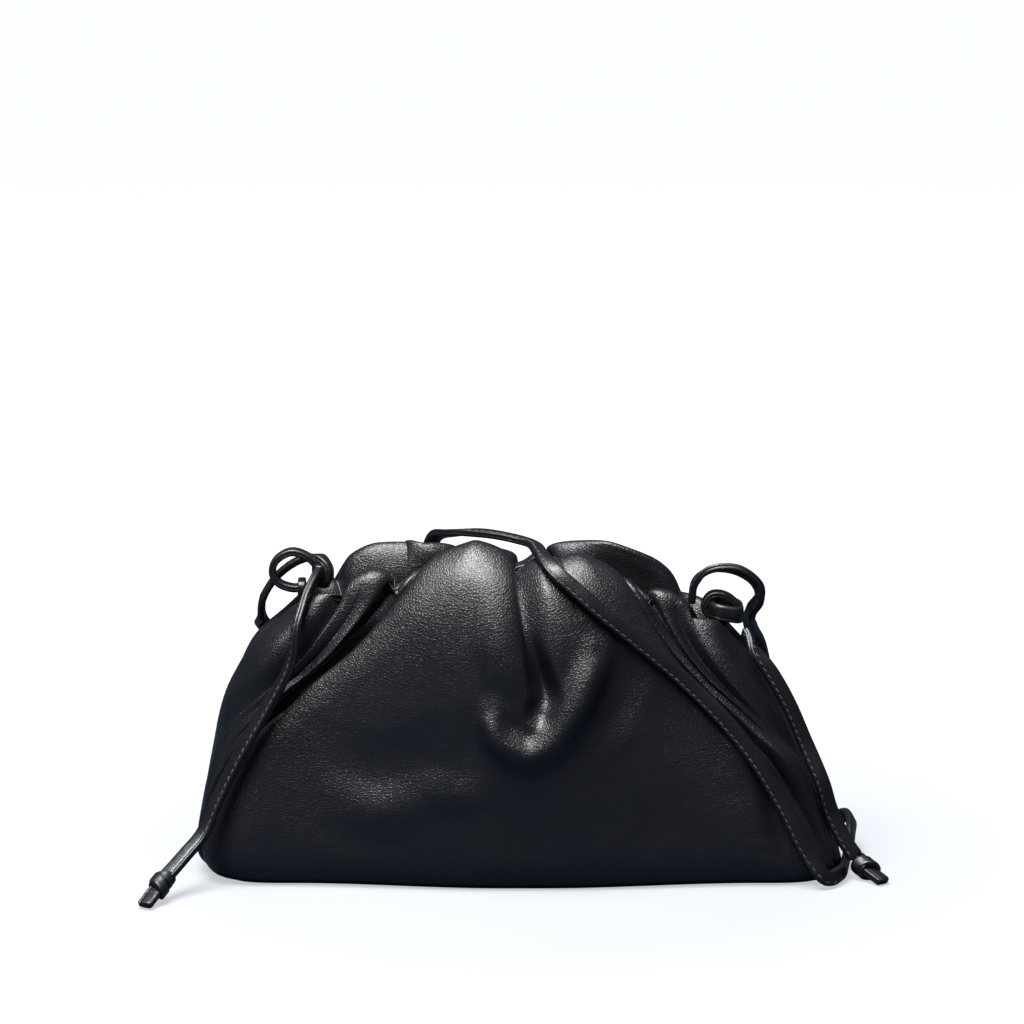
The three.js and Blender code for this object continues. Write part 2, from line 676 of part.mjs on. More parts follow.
// The right knot: a ring of lace that passes through the belt loop, and a flat turn round the two.
const rightRingRows = [
  { spot: [-1.25, 0, 0.55], face: [-1, 0, 0] },
  { spot: [-0.8, 0, 1.35], face: [-0.4, 0, 1] },
  { spot: [0.1, 0, 1.3], face: [0.4, 0, 1] },
  { spot: [0.85, 0, 0.6], face: [1, 0, 0.3] },
  { spot: [0.6, 0, 0.05], face: [0.6, 0, -1] },
  { spot: [0, 0, 0], face: [0, 0, -1] },
  { spot: [-0.75, 0, 0.02], face: [-0.2, 0, -1] },
];
const rightTurnRows = [
  { spot: [-0.45, -1.2, 0.55], face: [-0.3, -1, 0] },
  { spot: [0.3, -1.28, 0.4], face: [0, -1, 0] },
  { spot: [0.85, -1.1, 0.27], face: [0.3, -1, 0] },
  { spot: [1.02, 0, 0.25], face: [1, 0, 0] },
  { spot: [0.85, 1.1, 0.33], face: [0.3, 1, 0] },
  { spot: [0.3, 1.28, 0.47], face: [0, 1, 0] },
  { spot: [-0.45, 1.2, 0.62], face: [-0.3, 1, 0] },
  { spot: [-0.8, 0, 0.55], face: [-1, 0, 0] },
];
const rightKnot = [
  laceGeometry(knotRows(rightHole, rightRingRows), { closed: true }),
  laceGeometry(knotRows(rightHole, rightTurnRows), { closed: true }),
];
addPiece("right_strap_knot", joined(rightKnot), strapLeather);

// The long strap, from the left knot down behind the bag, over the mouth, down across the front, round
// the right corner, along the floor behind and up to the right knot.
const strapStart = [
  { spot: [-0.6, 1, 0.72], face: [0, 0.2, 1] },
  { spot: [-0.85, 1.15, 0.7], face: [0, 0, 1] },
];
const strapCourse = [
  { along: -0.7, out: 0.19, up: 0.898, face: [-0.1, 0, 1] },
  { along: -0.735, out: 0.19, up: 0.877, face: [-0.6, 0, 1] },
  { along: -0.775, out: 0.19, up: 0.84, face: [-0.8, 0, 0.7] },
  { along: -0.808, out: 0.2, up: 0.785, face: [-1, 0, 0.1] },
  { along: -0.815, out: 0.31, up: 0.735, face: [-1, 0.1, 0] },
  { side: "back", along: -0.79, up: 0.67, off: 1.1 },
  { side: "back", along: -0.67, up: 0.55, off: 0.2 },
  { side: "back", along: -0.5, up: 0.48 },
  { side: "back", along: -0.37, up: 0.59 },
  { side: "back", along: -0.3, up: 0.82 },
  { along: -0.275, out: 0.62, up: 0.94, face: [0.1, 0.8, 1] },
  { along: -0.22, out: 0.4, up: 0.968, face: [0.1, 0.2, 1] },
  { along: -0.13, out: 0.2, up: 0.982, face: [0, 0, 1] },
  { along: -0.045, out: 0.05, up: 0.98, face: [0.1, 0, 1] },
  { along: 0.03, out: -0.12, up: 0.971, face: [0.3, -0.1, 1] },
  { along: 0.058, out: -0.46, up: 0.965, face: [0.3, -0.4, 1] },
  { side: "front", along: 0.098, up: 0.925 },
  { side: "front", along: 0.17, up: 0.868 },
  { side: "front", along: 0.245, up: 0.806 },
  { side: "front", along: 0.364, up: 0.712 },
  { side: "front", along: 0.488, up: 0.612 },
  { side: "front", along: 0.609, up: 0.502 },
  { side: "front", along: 0.705, up: 0.386 },
  { side: "front", along: 0.798, up: 0.237 },
  { side: "front", along: 0.868, up: 0.108, off: 0.2 },
  { along: 0.935, out: -0.88, up: 0.034, face: [0.6, -0.8, 0.3] },
  { along: 0.983, out: -0.705, up: 0.032, face: [0.9, -0.5, 0] },
  { along: 1.0115, out: -0.3, up: 0.037, face: [1, -0.2, 0] },
  { along: 1.035, out: 0.1, up: 0.085, face: [1, 0, 0.3] },
  { along: 1.04, out: 0.45, up: 0.1, face: [1, 0, 0.6] },
  { along: 0.99, out: 0.9, up: 0.055, face: [0.5, 0.3, 1] },
  { along: 0.87, out: 1.3, up: 0.02 },
  { along: 0.6, out: 1.65, up: 0.0125 },
  { along: 0.1, out: 1.8, up: 0.0125 },
  { along: -0.45, out: 1.75, onFloor: true },
  { along: -0.75, out: 1.85, onFloor: true },
  { along: -0.84, out: 2.15, onFloor: true },
  { along: -0.72, out: 2.42, onFloor: true },
  { along: -0.4, out: 2.5, up: 0.0118 },
  { along: 0.2, out: 2.45, up: 0.0125 },
  { along: 0.62, out: 2.25, up: 0.02 },
  { along: 0.8, out: 1.85, up: 0.06, face: [0.5, 0.3, 1] },
  { along: 0.81, out: 1.45, up: 0.22, face: [0.4, 0.8, 0.5] },
  { along: 0.79, out: 1.05, up: 0.42, face: [0.3, 1, 0.2] },
  { along: 0.75, out: 0.65, up: 0.61, face: [0.3, 1, 0.1] },
  { along: 0.715, out: 0.33, up: 0.7, face: [0.5, 0.9, 0] },
  { along: 0.715, out: 0.1, up: 0.76, face: [1, 0.3, 0] },
  { along: 0.737, out: 0.02, up: 0.8, face: [1, 0, 0.1], turn: 10 },
  { along: 0.727, out: -0.02, up: 0.845, face: [0.8, 0, 0.6], turn: 30 },
  { along: 0.665, out: -0.05, up: 0.888, face: [0.2, -0.1, 1], turn: 40 },
  { along: 0.585, out: -0.05, up: 0.89, face: [-0.2, -0.2, 1], turn: 30 },
  { along: 0.537, out: -0.02, up: 0.85, face: [-1, -0.2, 0.4], turn: 10 },
  { along: 0.527, out: 0, up: 0.795, face: [-1, 0, 0] },
];
const strapRows = [...knotRows(leftHeart, strapStart), ...strapCourse];
addPiece("shoulder_strap", laceGeometry(strapRows, { bend: 25 }), strapLeather);

// A stopper knot on the end of a tail: a round heart with a turn of lace over it, and the short free end.
function stopperKnot(heart, tip) {
  const along = tip.clone().sub(heart).normalize();
  const level = new THREE.Vector3(0, 0, 1).cross(along).normalize();
  const over = along.clone().cross(level);
  const ring = [];
  for (let i = 0; i < 8; i += 1) {
    const angle = (i * Math.PI) / 4;
    const [c, s] = [Math.cos(angle), Math.sin(angle)];
    const face = level.clone().multiplyScalar(c).addScaledVector(over, s);
    const point = heart.clone().addScaledVector(face, 0.5 * strapWidth);
    point.addScaledVector(along, 0.3 * c * strapWidth);
    ring.push({ point, face });
  }
  const end = [
    { point: heart.clone(), face: over },
    { point: heart.clone().lerp(tip, 0.5), face: over },
    { point: tip, face: over },
  ];
  const radii = new THREE.Vector3(0.72 * strapWidth, 0.72 * strapWidth, heart.z);
  return joined([lump(heart, radii), laceGeometry(ring, { closed: true, bend: 48 }), laceGeometry(end)]);
}

const roomFor = (heart) =>
  new THREE.Vector3(strapWidth, strapWidth, 0.95 * Math.max(heart.z, 1.05 * strapWidth)).addScalar(seatGap);
const spot = (along, out, up) => new THREE.Vector3(along * halfWidth, out * halfDepth, up * bagHeight);

// The left tail hangs from the left knot over the gathers and ends on the floor in front.
const leftStop = spot(-1.1, -1.29, 0).setZ(1.15 * strapWidth);
const leftTip = spot(-1.14, -1.52, 0).setZ(0.35 * strapWidth);
const leftTailStart = [
  { spot: [-0.05, -0.55, 0], face: [-1, -0.3, 0] },
  { spot: [-0.2, -1.35, 0], face: [-1, -0.3, 0] },
  { spot: [-0.66, -2.6, -0.6], face: [-1, -0.3, 0] },
];
const leftTailCourse = [
  { side: "front", along: -0.675, up: 0.75, turn: 60, off: 0.75 },
  { side: "front", along: -0.705, up: 0.65, turn: 60, off: 0.15 },
  { along: -0.805, out: -0.77, up: 0.495, face: [-0.8, -0.6, 0] },
  { along: -0.86, out: -0.8, up: 0.405, face: [-0.8, -0.6, 0] },
  { along: -0.935, out: -0.85, up: 0.265, face: [-0.7, -0.7, 0.2] },
  { along: -0.98, out: -0.92, up: 0.17, face: [-0.6, -0.7, 0.3] },
  { along: -1.03, out: -1.05, up: 0.12, face: [-0.5, -0.7, 0.5] },
  { along: -1.075, out: -1.2, up: 0.08, face: [-0.4, -0.7, 0.6] },
  { along: -1.1, out: -1.29, up: 0.06, face: [-0.4, -0.7, 0.6] },
];
const leftTail = laceGeometry([...knotRows(leftHeart, leftTailStart), ...leftTailCourse]);
const leftRoom = leftRadii.clone().addScalar(seatGap);
const leftTailEnds = [lump(leftHeart, leftRoom), lump(leftStop, roomFor(leftStop))];
addPiece("left_tail", cut(leftTail, leftTailEnds), strapLeather);
addPiece("left_tail_knot", stopperKnot(leftStop, leftTip), strapLeather);

// The right tail hangs from the right knot down the bag's right edge to the floor.
const rightStop = spot(1.06, -0.575, 0).setZ(0.84 * strapWidth);
const rightTip = spot(1.112, -0.76, 0).setZ(0.3 * strapWidth);
const rightTailCourse = [
  { along: 0.69, out: -0.2, up: 0.71, face: [1, -0.3, -0.3] },
  { along: 0.727, out: -0.39, up: 0.66, face: [0.8, -0.8, 0] },
  { along: 0.77, out: -0.43, up: 0.605, face: [0.5, -1, 0] },
  { along: 0.826, out: -0.45, up: 0.51, face: [0.4, -1, 0] },
  { along: 0.874, out: -0.46, up: 0.405, face: [0.3, -1, 0] },
  { along: 0.927, out: -0.535, up: 0.29, face: [0.3, -1, 0] },
  { along: 0.958, out: -0.51, up: 0.195, face: [0.3, -1, 0.1] },
  { along: 1.01, out: -0.55, up: 0.1, face: [0.3, -1, 0.3] },
  { along: 1.06, out: -0.575, up: 0.04, face: [0.3, -1, 0.3] },
];
const rightTail = laceGeometry(rightTailCourse);
addPiece("right_tail", cut(rightTail, [lump(rightStop, roomFor(rightStop))]), strapLeather);
addPiece("right_tail_knot", stopperKnot(rightStop, rightTip), strapLeather);

export default bag;
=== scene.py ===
"""The looks of a small black leather pouch bag, gathered into a slit mouth, with a knotted lace strap over it.

Metres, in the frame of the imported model: the origin is the middle of the flat base, the front faces -Y, and
+X is to the right of someone who looks at the front.
"""

import math

import bpy
import numpy as np
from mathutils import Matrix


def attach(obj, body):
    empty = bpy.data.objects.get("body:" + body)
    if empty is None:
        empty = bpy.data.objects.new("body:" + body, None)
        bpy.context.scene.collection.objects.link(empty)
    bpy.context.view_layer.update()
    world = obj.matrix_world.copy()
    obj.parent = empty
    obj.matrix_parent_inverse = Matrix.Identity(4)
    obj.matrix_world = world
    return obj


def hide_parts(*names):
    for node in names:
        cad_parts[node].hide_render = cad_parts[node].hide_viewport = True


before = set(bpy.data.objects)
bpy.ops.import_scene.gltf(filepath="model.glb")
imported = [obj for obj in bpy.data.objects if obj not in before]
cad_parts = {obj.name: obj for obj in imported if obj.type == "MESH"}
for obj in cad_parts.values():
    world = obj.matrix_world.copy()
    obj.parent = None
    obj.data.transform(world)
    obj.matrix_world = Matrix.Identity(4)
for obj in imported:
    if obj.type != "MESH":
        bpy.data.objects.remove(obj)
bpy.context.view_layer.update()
bpy.ops.object.select_all(action="DESELECT")

MM = 0.001

# The sizes of the leather body, the strap, the hidden bar and the belt loops, as in the part's source
BAG_WIDTH = 220 * MM
BAG_HEIGHT = 117 * MM
BAG_DEPTH = 72 * MM
LEATHER_WALL = 2.2 * MM
MOUTH_LENGTH = 128 * MM
MOUTH_GAP = 8 * MM
STRAP_WIDTH = 5.4 * MM
STRAP_THICKNESS = 2.6 * MM
TAB_WIDTH = 2.6 * MM
TAB_LEATHER = 1.3 * MM
SEAT_GAP = 0.35 * MM

HALF_WIDTH = BAG_WIDTH / 2
HALF_DEPTH = BAG_DEPTH / 2
HALF_MOUTH = MOUTH_LENGTH / 2
HALF_GAP = MOUTH_GAP / 2

# The levels of the leather from the lip inside the mouth over the crest and down to the base. Each row has
# the rise at mid-length, at the left end and at the right end, the depth at mid-length and at the ends, the
# reach to the left and to the right, how round the end is, and how many rings of mesh lie from here to the
# next level.
LEVELS = {
    "lip": (0.86, 0.735, 0.65, 0, 0, 0, 0, 1, 5),
    "throat": (0.915, 0.77, 0.685, 0.03, 0.02, 0.03, 0.02, 1, 6),
    "brow": (0.975, 0.792, 0.708, 0.15, 0.08, 0.09, 0.05, 1, 7),
    "crest": (1, 0.8, 0.715, 0.31, 0.16, 0.17, 0.09, 1, 7),
    "roll": (0.972, 0.788, 0.703, 0.52, 0.3, 0.29, 0.16, 1, 8),
    "shoulder": (0.885, 0.748, 0.672, 0.77, 0.42, 0.42, 0.25, 1, 10),
    "chest": (0.74, 0.672, 0.61, 0.93, 0.55, 0.63, 0.4, 0.95, 14),
    "middle": (0.56, 0.535, 0.5, 0.99, 0.64, 0.79, 0.56, 0.9, 18),
    "waist": (0.375, 0.36, 0.345, 1, 0.73, 0.9, 0.7, 0.74, 17),
    "belly": (0.2, 0.2, 0.19, 1, 0.8, 0.99, 0.85, 0.6, 14),
    "foot": (0.085, 0.085, 0.075, 1, 0.82, 1.02, 0.97, 0.5, 8),
    "turn": (0.022, 0.024, 0.02, 0.94, 0.77, 0.95, 0.98, 0.5, 5),
    "base": (0, 0, 0, 0.85, 0.66, 0.82, 0.88, 0.5, 0),
}
LEVEL_TABLE = np.array(list(LEVELS.values()), float)
COLUMN = {
    "rise": 0, "rise_left": 1, "rise_right": 2, "deep": 3, "end": 4, "left": 5, "right": 6, "round": 7,
}
CREST_LEVEL = 3
BASE_LEVEL = len(LEVELS) - 1
ARCH_LEFT = 3.3
ARCH_RIGHT = 3
STRAIGHT_SHARE = 0.7
COURSE_LEVELS = [0, CREST_LEVEL, 6, 8, BASE_LEVEL]
ROUND_TRIP = 4

# The valleys between the gathers, going round the bag from its left end (-1) by the front (0), the right end
# (1) and the back (2). course, depth, spread, lift, sink and lean are as in the part's source, and strips is
# how finely the gather is meshed. over says which gather lies over its neighbour, -1 for the one before the
# valley and 1 for the one after it, lap how far it reaches over the valley, as a share of bag width, and
# slope how wide the neighbour's side sinks under it.
FOLDS = [
    dict(
        name="left seam",
        course=[-1, -1, -1, -1.08, -1.04],
        depth=[0, 0.03, 0.03, 0.01, 0],
        spread=0.03, lift=0, strips=4, over=0, lap=0, slope=0,
    ),
    dict(
        name="left side",
        course=[-0.72, -0.655, -0.68, -0.95, -1.02],
        depth=[0, 0.09, 0.085, 0.01, 0],
        spread=0.03, lift=-0.03, sink=0.06, strips=4, over=1, lap=0.016, slope=0.06,
    ),
    dict(
        name="left pleat",
        course=[-0.56, -0.5, -0.61, -0.88, -1],
        depth=[0, 0.13, 0.08, 0, 0],
        spread=0.035, lift=-0.075, sink=0.12, strips=4, over=-1, lap=0.008, slope=0.06,
    ),
    dict(
        name="panel left edge",
        course=[-0.34, -0.3, -0.5, -0.84, -0.98],
        depth=[0, 0.14, 0.14, 0.06, 0],
        spread=0.045, lift=0, strips=11, over=1, lap=0.03, slope=0.1,
    ),
    dict(
        name="panel split",
        course=[-0.08, -0.055, 0.01, 0.09, 0.1],
        depth=[0, 0.12, 0.055, -0.06, 0],
        spread=0.04, lift=-0.055, strips=5, over=-1, lap=0.014, slope=0.07,
    ),
    dict(
        name="under strap",
        course=[0.14, 0.15, 0.24, 0.3, 0.3],
        depth=[0, 0.012, 0, 0, 0],
        spread=0.04, lift=-0.035, strips=8, over=0, lap=0, slope=0,
    ),
    dict(
        name="panel right edge",
        course=[0.38, 0.32, 0.545, 0.8, 0.95],
        depth=[0, 0.11, 0.1, 0.06, 0],
        spread=0.045, lift=-0.075, sink=0.04, strips=4, over=-1, lap=0.03, slope=0.08,
    ),
    dict(
        name="right pleat",
        course=[0.56, 0.53, 0.64, 0.86, 0.98],
        depth=[0, 0.095, 0.06, 0, 0],
        spread=0.035, lift=-0.045, sink=0.07, strips=4, over=1, lap=0.012, slope=0.05,
    ),
    dict(
        name="right side",
        course=[0.78, 0.72, 0.73, 0.9, 1.01],
        depth=[0, 0.07, 0.04, 0.02, 0],
        spread=0.035, lift=0, sink=0.04, strips=4, over=-1, lap=0.01, slope=0.05,
    ),
    dict(
        name="right seam",
        course=[1, 1, 1, 1.06, 1.04],
        depth=[0, 0.02, 0.03, 0.01, 0],
        spread=0.03, lift=0, strips=4, over=0, lap=0, slope=0,
    ),
    dict(
        name="back right",
        course=[1.34, 1.36, 1.3, 1.25, 1.24],
        depth=[0, 0.08, 0.06, 0.02, 0],
        spread=0.045, lift=-0.015, lean=0.1, strips=7, over=1, lap=0.02, slope=0.07,
    ),
    dict(
        name="back middle",
        course=[1.85, 1.87, 1.78, 1.7, 1.7],
        depth=[0, 0.12, 0.07, 0, 0],
        spread=0.045, lift=-0.085, strips=4, over=-1, lap=0.02, slope=0.07,
    ),
    dict(
        name="back notch",
        course=[2.03, 2.02, 2, 1.96, 1.96],
        depth=[0, 0.08, 0.04, 0, 0],
        spread=0.035, lift=-0.075, strips=4, over=1, lap=0.012, slope=0.05,
    ),
    dict(
        name="back left",
        course=[2.27, 2.26, 2.3, 2.36, 2.34],
        depth=[0, 0.1, 0.08, 0.02, 0],
        spread=0.045, lift=-0.035, lean=0.06, strips=4, over=1, lap=0.02, slope=0.06,
    ),
    dict(
        name="back crease",
        course=[2.46, 2.45, 2.5, 2.56, 2.54],
        depth=[0, 0.018, 0.05, 0.01, 0],
        spread=0.06, lift=0.01, strips=4, over=0, lap=0, slope=0,
    ),
    dict(
        name="back end",
        course=[2.74, 2.76, 2.72, 2.72, 2.74],
        depth=[0, 0.06, 0.06, 0.02, 0],
        spread=0.045, lift=0, strips=4, over=1, lap=0.014, slope=0.05,
    ),
]
COLUMNS_A_STRIP = 6

# Ridges and hollows that the slack leather takes up on the front, as rows along a smooth line: shares of half
# the width across and of the height up, how far it stands out there and half its width there, in millimetres.
FORMS = {
    "hook": [
        (-0.096, 0.55, 0.3, 5.5), (-0.094, 0.5, 3.8, 6.5), (-0.066, 0.448, 4.4, 7.5),
        (0.015, 0.41, 3.7, 7.5), (0.093, 0.447, 3.7, 7.5), (0.148, 0.521, 4.3, 8), (0.185, 0.594, 4.4, 8.5),
        (0.214, 0.665, 3.2, 8.5), (0.232, 0.72, 0.3, 8),
    ],
    "hollow": [
        (0.02, 0.78, 0, 4), (0.042, 0.7, -2.6, 5), (0.06, 0.63, -5.4, 6), (0.07, 0.58, -5.8, 6.5),
        (0.055, 0.535, -2.2, 6),
    ],
    "shoulder of the split": [
        (-0.08, 0.9, 0.3, 10), (-0.07, 0.75, 1.6, 12), (-0.04, 0.63, 1.6, 10), (-0.03, 0.56, 0.2, 8),
    ],
    "corner shelf": [
        (0.67, 0.44, 0.4, 6), (0.74, 0.4, 2.6, 6.5), (0.82, 0.335, 3.2, 7), (0.88, 0.26, 2.4, 6.5),
        (0.91, 0.19, 0.4, 6),
    ],
    "foot crease": [
        (0.69, 0.4, 0, 4), (0.75, 0.28, -1.6, 5), (0.79, 0.16, -2.4, 6), (0.83, 0.06, -1.2, 5),
        (0.86, 0.02, 0, 5),
    ],
    "left bump": [
        (-0.56, 0.26, 0.1, 10), (-0.49, 0.24, 1.1, 12), (-0.42, 0.235, 1.5, 13), (-0.35, 0.26, 1, 12),
        (-0.28, 0.3, 0.1, 10),
    ],
    "over the left bump": [
        (-0.62, 0.42, 0, 12), (-0.48, 0.36, -1, 15), (-0.33, 0.38, -1, 15), (-0.2, 0.46, 0, 12),
    ],
    "middle bump": [
        (-0.26, 0.31, 0.2, 8), (-0.2, 0.285, 1.2, 9), (-0.13, 0.3, 0.2, 8),
    ],
    "left of the hook": [
        (-0.13, 0.56, 0, 6), (-0.15, 0.47, -0.9, 8), (-0.16, 0.37, -0.7, 8), (-0.14, 0.28, 0, 7),
    ],
    "right of the hook": [
        (0.2, 0.44, 0, 8), (0.26, 0.5, -1.3, 10), (0.31, 0.6, -1.3, 10), (0.33, 0.72, 0, 8),
    ],
    "right bulge": [
        (0.38, 0.36, 0, 14), (0.48, 0.32, 0.5, 18), (0.58, 0.22, 0.5, 16), (0.62, 0.12, 0, 12),
    ],
    "left gusset fold": [
        (-0.9, 0.62, 0, 5), (-0.93, 0.5, 1, 6), (-0.97, 0.36, 1, 6), (-0.99, 0.2, 0, 5),
    ],
    "crease by the tail": [
        (-0.58, 0.72, 0, 3), (-0.66, 0.62, -1.4, 4), (-0.76, 0.5, -1, 4), (-0.84, 0.42, 0, 3),
    ],
}


def through(knots, values, place):
    """A cubic curve through values given at the places in knots."""
    knots = np.asarray(knots, float)
    values = np.asarray(values, float)
    place = np.asarray(place, float)
    last = len(knots) - 1
    k = np.arange(last + 1)
    low = np.maximum(k - 1, 0)
    high = np.minimum(k + 1, last)
    slopes = (values[high] - values[low]) / (knots[high] - knots[low])
    i = np.clip(np.searchsorted(knots, place, side="left") - 1, 0, last - 1)
    span = knots[i + 1] - knots[i]
    t = np.clip((place - knots[i]) / span, 0, 1)
    start = values[i] * (1 + 2 * t) * (1 - t) ** 2 + slopes[i] * span * t * (1 - t) ** 2
    end = values[i + 1] * t * t * (3 - 2 * t) - slopes[i + 1] * span * t * t * (1 - t)
    return start + end


def smoothstep(value, low=0.0, high=1.0):
    t = np.clip((value - low) / (high - low), 0, 1)
    return t * t * (3 - 2 * t)


def unit(vectors):
    return vectors / np.maximum(np.linalg.norm(vectors, axis=-1, keepdims=True), 1e-12)


def at_level(column, level):
    return through(np.arange(BASE_LEVEL + 1), LEVEL_TABLE[:, COLUMN[column]], level)


def depth_of(column, level):
    return HALF_GAP + at_level(column, level) * (HALF_DEPTH - HALF_GAP)


def reach_of(is_left, level):
    share = np.where(is_left, at_level("left", level), at_level("right", level))
    return HALF_MOUTH + share * (HALF_WIDTH - HALF_MOUTH)


def smooth_skin(place, level):
    """The smooth skin without its gathers, at places round the bag and levels."""
    place, level = np.broadcast_arrays(np.asarray(place, float), np.asarray(level, float))
    turn = (place + 1) % ROUND_TRIP - 1
    on_front = turn <= 1
    across = np.where(on_front, turn, 2 - turn)
    is_left = across < 0
    reach = reach_of(is_left, level)
    end_depth = depth_of("end", level)
    straight = reach - end_depth
    flat = np.abs(across) <= STRAIGHT_SHARE
    fade = smoothstep(np.abs(across) / STRAIGHT_SHARE, 0.1, 1)
    angle = np.clip((np.abs(across) - STRAIGHT_SHARE) / (1 - STRAIGHT_SHARE), 0, 1) * math.pi / 2
    roundness = at_level("round", level)
    x_end = np.sign(across) * (straight + end_depth * np.sin(angle) ** roundness)
    x = np.where(flat, across / STRAIGHT_SHARE * straight, x_end)
    y_end = end_depth * np.maximum(np.cos(angle), 0) ** roundness
    y = np.where(flat, end_depth + (depth_of("deep", level) - end_depth) * (1 - fade), y_end)
    power = np.where(is_left, ARCH_LEFT, ARCH_RIGHT)
    arch = 1 - np.minimum(np.abs(x / reach), 1) ** power
    end_rise = np.where(is_left, at_level("rise_left", level), at_level("rise_right", level))
    rise = end_rise + (at_level("rise", level) - end_rise) * arch
    return np.stack([x, np.where(on_front, -y, y), rise * BAG_HEIGHT], -1)


def skin_directions(place, level):
    """The way along the smooth skin and the way out of it."""
    step = 0.02
    low = np.maximum(level - step, 0)
    high = np.minimum(level + step, BASE_LEVEL)
    along = smooth_skin(place + step, level) - smooth_skin(place - step, level)
    down = smooth_skin(place, high) - smooth_skin(place, low)
    return unit(along), unit(np.cross(down, along))


def fold_at(i):
    return FOLDS[i % len(FOLDS)]


def course_of(i, level):
    return through(COURSE_LEVELS, fold_at(i)["course"], level) + (ROUND_TRIP if i >= len(FOLDS) else 0)


def depth_at(i, level):
    return np.maximum(0, through(COURSE_LEVELS, fold_at(i)["depth"], level)) * BAG_DEPTH


def crest_share(level):
    return np.maximum(0, through([0, 1, CREST_LEVEL, 5, 7, BASE_LEVEL], [0, 0.5, 1, 0.6, 0, 0], level))


def lift_across(i, share):
    own = fold_at(i)["lift"]
    other = np.where(share < 0.5, fold_at(i - 1)["lift"], fold_at(i + 1)["lift"])
    return own + (other - own) / 2 * smoothstep(np.abs(share - 0.5) * 2)


def sink_at(i, share, level):
    """A gather that slips in under its neighbours below the crest."""
    sink = fold_at(i).get("sink", 0) * BAG_DEPTH
    return sink * through(
        [0, 4, 6, 8, BASE_LEVEL], [0, 0, 1, 0, 0], level,
    ) * smoothstep(1 - np.abs(share - 0.5) * 2)


def lean_at(i, share, level):
    """How far a gather of the back leans forward over the mouth."""
    lean = fold_at(i).get("lean", 0) * BAG_DEPTH
    return lean * through(
        [0, 1, 2, 3, 4, 5, 6, BASE_LEVEL], [0, 0.14, 0.62, 1, 0.7, 0.25, 0, 0], level,
    ) * np.sin(math.pi * share)


def form_at(x, z, rows, steps=40):
    """How far a ridge or hollow moves points of the front out."""
    rows = np.array(rows, float)
    marks = np.linspace(0, len(rows) - 1, steps)
    line = np.stack([through(np.arange(len(rows)), rows[:, k], marks) for k in range(4)], -1)
    gap = np.hypot(x[..., None] - line[:, 0] * HALF_WIDTH, z[..., None] - line[:, 1] * BAG_HEIGHT)
    reach = np.abs(line[:, 3]) * MM
    # Every mark near the point has a say, and the nearest ones most, so that no edge shows where two
    # stretches meet
    say = np.exp(-((gap - gap.min(-1, keepdims=True)) / (0.25 * reach)))
    say /= say.sum(-1, keepdims=True)
    share = np.minimum(gap.min(-1) / (say * reach).sum(-1), 1)
    return (say * line[:, 2]).sum(-1) * MM * (1 - share**2) ** 2


def forms_of_front(x, z):
    return sum(form_at(x, z, rows) for rows in FORMS.values())


# The side of a gather is at most this share of its width: under its neighbour, over it, or beside it
UNDER_MOST = 0.58
OVER_MOST = 0.42
BESIDE_MOST = 0.5
# A valley this deep, as a share of the bag's depth, carries its whole lap, and a deeper one little more
FULL_LAP_DEPTH = 0.11
LAP_MOST = 1.1
# Makes the lap's profile u * (1 - u)^2 reach 1 at its highest
LAP_PROFILE = 6.75


def side_of_valley(i, valley_index, share, level, across, is_after, with_laps):
    """How far one side of a valley sinks, and how far it reaches sideways, as (in, along)."""
    fold = fold_at(valley_index)
    depth = depth_at(valley_index, level)
    over = fold["over"] == (1 if is_after else -1)
    under = fold["over"] == (-1 if is_after else 1)
    width = fold["slope"] if under else fold["spread"]
    side = np.minimum(width * BAG_WIDTH / np.maximum(across, 0.1 * MM), UNDER_MOST if under else OVER_MOST)
    if fold["over"] == 0:
        side = np.minimum(side, BESIDE_MOST)
    u = np.clip(share / side, 0, 1)
    if under:
        sunk = depth * (1 - smoothstep(u) ** 0.8)
    else:
        sunk = depth * (1 - np.sqrt(1 - (1 - u) ** 2))
    reach = np.zeros_like(sunk)
    if over and with_laps:
        full = depth / (FULL_LAP_DEPTH * BAG_DEPTH)
        reach = fold["lap"] * BAG_WIDTH * np.minimum(full**2, LAP_MOST) * LAP_PROFILE * u * (1 - u) ** 2
    return sunk, (-reach if is_after else reach)


def gathered_skin(i, share, level, with_laps=True):
    """Points of the gathered skin: share runs from 0 to 1 across the gather that follows valley i."""
    share, level = np.broadcast_arrays(np.asarray(share, float), np.asarray(level, float))
    start = course_of(i, level)
    end = course_of(i + 1, level)
    place = start + (end - start) * share
    across = np.linalg.norm(smooth_skin(start, level) - smooth_skin(end, level), axis=-1)
    before, shift_before = side_of_valley(i, i, share, level, across, True, with_laps)
    after, shift_after = side_of_valley(i, i + 1, 1 - share, level, across, False, with_laps)
    point = smooth_skin(place, level)
    along, out = skin_directions(place, level)
    on_front = (point[..., 1] < 0) & (np.abs(place) < 1)
    relief = np.where(on_front, forms_of_front(point[..., 0], point[..., 2]), 0)
    before = before + sink_at(i, share, level)
    point = point + out * (relief - before - after)[..., None] + along * (
        shift_before + shift_after
    )[..., None]
    point[..., 1] -= lean_at(i, share, level)
    point[..., 2] += lift_across(i, share) * BAG_HEIGHT * crest_share(level)
    return point, place


def strip_shares(count):
    even = np.arange(count) / count
    return 0.45 * even + 0.55 * (0.5 - 0.5 * np.cos(math.pi * even))


def skin_grid(levels, with_laps=True):
    """Rings of points round the gathered skin, with their places."""
    parts = []
    for i, fold in enumerate(FOLDS):
        shares = strip_shares(fold["strips"] * COLUMNS_A_STRIP)
        parts.append(gathered_skin(i, shares[None, :], levels[:, None], with_laps))
    return [np.concatenate([part[k] for part in parts], axis=1) for k in range(2)]


SEAM_MERGE = 1e-6


